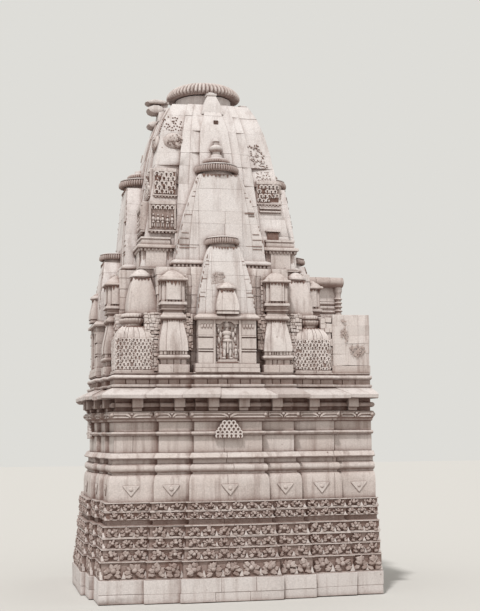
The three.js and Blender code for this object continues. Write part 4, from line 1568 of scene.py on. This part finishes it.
def porch_block():
    def shape(z, grow):
        g = grow - SKIN
        back, x0, x1 = CORE_FACE + 0.0003, 2.215 - g, PORCH_END + 0.01 + g
        inner, outer = SIDE_HALF - 0.02 + g, BLOCK_HALF + g
        near = [(back, -inner), (x0, -inner), (x0, -outer), (x1, -outer)]
        return near + [(x, -y) for x, y in reversed(near)]

    stone = Stone("porch block")
    look = dict(block=0.33, wander=0.008, groove=0.002, tone=(0.88, 0.99))
    stone.course(shape, TOWER_BASE, 4.51, block=0.8, wander=0.006)
    stone.masonry(lambda z, g: shape(z, g - 0.015), 4.51, BLOCK_TOP, 0.2, **look)
    stain(stone, 2.76, 4.8, 0.17, 0.14, -BLOCK_HALF, 130)
    stain(stone, 2.5, 5.2, 0.1, 0.3, -BLOCK_HALF, 45)
    make_piece("porch_block_masonry", stone, "rough_stone", "porch_masonry_block", wear=0.018)


def stub_column(stone, y):
    """A round shaft with four rings, at an outer corner of the stub."""
    profile = [(0.07, BLOCK_TOP), (0.07, 5.7)]
    for i in range(4):
        for radius, rise in ((0.06, 0), (0.085, 0.015), (0.092, 0.03), (0.085, 0.045), (0.062, 0.06)):
            profile.append((radius, 5.74 + i * 0.085 + rise))
    profile += [(0.06, 6.1), (0.078, 6.16), (0.09, 6.2), (0.09, 6.285)]
    stone.lathe((STUB_END, y), profile, count=16, shade=0.6)


def stub_coping(stone, x0, x1, shade):
    """One round-edged stone of the flat coping, from x0 to x1."""
    edge = 0.006
    rings = []
    for x, shrink in ((x0, edge), (x0 + edge, 0), (x1 - edge, 0), (x1, edge)):
        radius = COPING_THICK - shrink
        ring = []
        for start, axis in ((-90, COPING_AXIS), (90, -COPING_AXIS)):
            for i in range(9):
                angle = math.radians(start + 180 * i / 8)
                ring.append((x, axis + radius * math.cos(angle), COPING_LEVEL + radius * math.sin(angle)))
        rings.append(ring)
    stone.loft(rings, shade=shade)


def gable_stub():
    middle, half = (STUB_END + CORE_FACE) / 2, (STUB_END - CORE_FACE) / 2

    def wall(z, grow):
        return rectangle(half + grow, STUB_HALF + grow, middle)

    stone = Stone("gable stub")
    stone.course(wall, 5.545, 5.7, block=0.5, tone=(0.9, 0.99))
    for z in (5.7, 5.79, 5.88):
        profile = [(-0.015, z), (-0.015, z + 0.02), *roll(0.0, 0.02, z + 0.025, z + 0.085)]
        stone.moulding(wall, profile, block=0.9, tone=(0.8, 0.99))
    stone.course(wall, 5.97, 6.28, block=0.45, tone=(0.9, 0.99))
    for side in (-1, 1):
        stub_column(stone, side * STUB_HALF)
    for x0, x1 in ((CORE_FACE, 2.32), (2.322, 2.63), (2.632, 2.936)):
        stub_coping(stone, x0, x1, stone.pick(0.14, 0.3))
    make_piece("gable_stub_carving", stone, "carved_stone", "gable_stub", wear=0.008)


# Building it all

plinth_foot()
plinth_carved_courses()
walls()
capital_and_brackets()
wall_carving()
floor_and_ceiling()
eaves()
tower_mouldings()
tower_core()
packing_stones()
main_spire()
crown()
CORNERS = ("front_left", "front_entrance", "back_entrance", "back_left")
for number, name in enumerate(FACES):
    large_half_spire(name, number)
    middle_half_spire(name, number)
    if name != "entrance":
        niche(name, number)
    side_stack(f"{name}_side_stack_left", number, -1)
    side_stack(f"{name}_side_stack_right", number, 1)
    corner_stack(f"corner_stack_{CORNERS[number]}", number)
porch_block()
gable_stub()


# Floor, light and camera

def plain_material(name, colour):
    material = bpy.data.materials.new(name)
    material.use_nodes = True
    shader = material.node_tree.nodes["Principled BSDF"]
    shader.inputs["Base Color"].default_value = colour
    shader.inputs["Roughness"].default_value = 1.0
    shader.inputs["Specular IOR Level"].default_value = 0.0
    return material


FLOOR_HALF = 90.0
FLOOR_COLOUR = (0.55, 0.54, 0.52, 1)
SKY_COLOUR = (0.86, 0.85, 0.81, 1)
SKY_STRENGTH = 0.85
LAMPS = (
    # name, energy, angle across in degrees, colour and direction of each sun lamp
    ("sun", 2.44, 4, (1.0, 0.975, 0.955), (0.36, 0.56, -1.1)),
    ("fill", 0.34, 40, (1.0, 0.62, 0.48), (0.1, 1.0, 0.12)),
)


def studio():
    mesh = bpy.data.meshes.new("studio_floor")
    mesh.from_pydata([(x, y, 0) for x, y in rectangle(FLOOR_HALF, FLOOR_HALF)], [], [(0, 1, 2, 3)])
    floor = bpy.data.objects.new("studio_floor", mesh)
    mesh.materials.append(plain_material("studio_floor", FLOOR_COLOUR))
    bpy.context.scene.collection.objects.link(floor)
    floor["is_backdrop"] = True

    world = bpy.data.worlds.new("studio")
    bpy.context.scene.world = world
    bpy.context.scene.view_settings.view_transform = "Standard"
    world.use_nodes = True
    background = world.node_tree.nodes["Background"]
    background.inputs["Color"].default_value = SKY_COLOUR
    background.inputs["Strength"].default_value = SKY_STRENGTH

    for name, energy, spread, colour, towards in LAMPS:
        sun = bpy.data.lights.new(name, "SUN")
        sun.energy = energy
        sun.angle = math.radians(spread)
        sun.color = colour
        lamp = bpy.data.objects.new(name, sun)
        lamp.rotation_euler = Vector(towards).to_track_quat("-Z", "Y").to_euler()
        bpy.context.scene.collection.objects.link(lamp)


# The photograph's view, as fitted to the steps of the tower: angles in degrees, lens in mm
CAMERA_PLACE = (-4.96, -25.267, 3.213)
CAMERA_ANGLES = (12.832, 5.956, -0.474)
LENS = 70.73


def camera():
    yaw, pitch, tip = (math.radians(angle) for angle in CAMERA_ANGLES)
    forward = Vector((math.sin(yaw) * math.cos(pitch), math.cos(yaw) * math.cos(pitch), math.sin(pitch)))
    right = Vector((math.cos(yaw), -math.sin(yaw), 0.0))
    up = right.cross(forward)
    tipped_right = right * math.cos(tip) + up * math.sin(tip)
    tipped_up = tipped_right.cross(forward)
    data = bpy.data.cameras.new("camera")
    data.lens = LENS
    data.sensor_width = 36.0
    data.sensor_fit = "AUTO"
    data.clip_end = 400.0
    view = bpy.data.objects.new("camera", data)
    axes = Matrix((tipped_right, tipped_up, -forward)).transposed()
    view.matrix_world = Matrix.Translation(CAMERA_PLACE) @ axes.to_4x4()
    bpy.context.scene.collection.objects.link(view)
    bpy.context.scene.camera = view


studio()
camera()

boxes = {"cad": cad_box, "visual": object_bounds()}
{key: [list(corner) for corner in value] for key, value in boxes.items()}
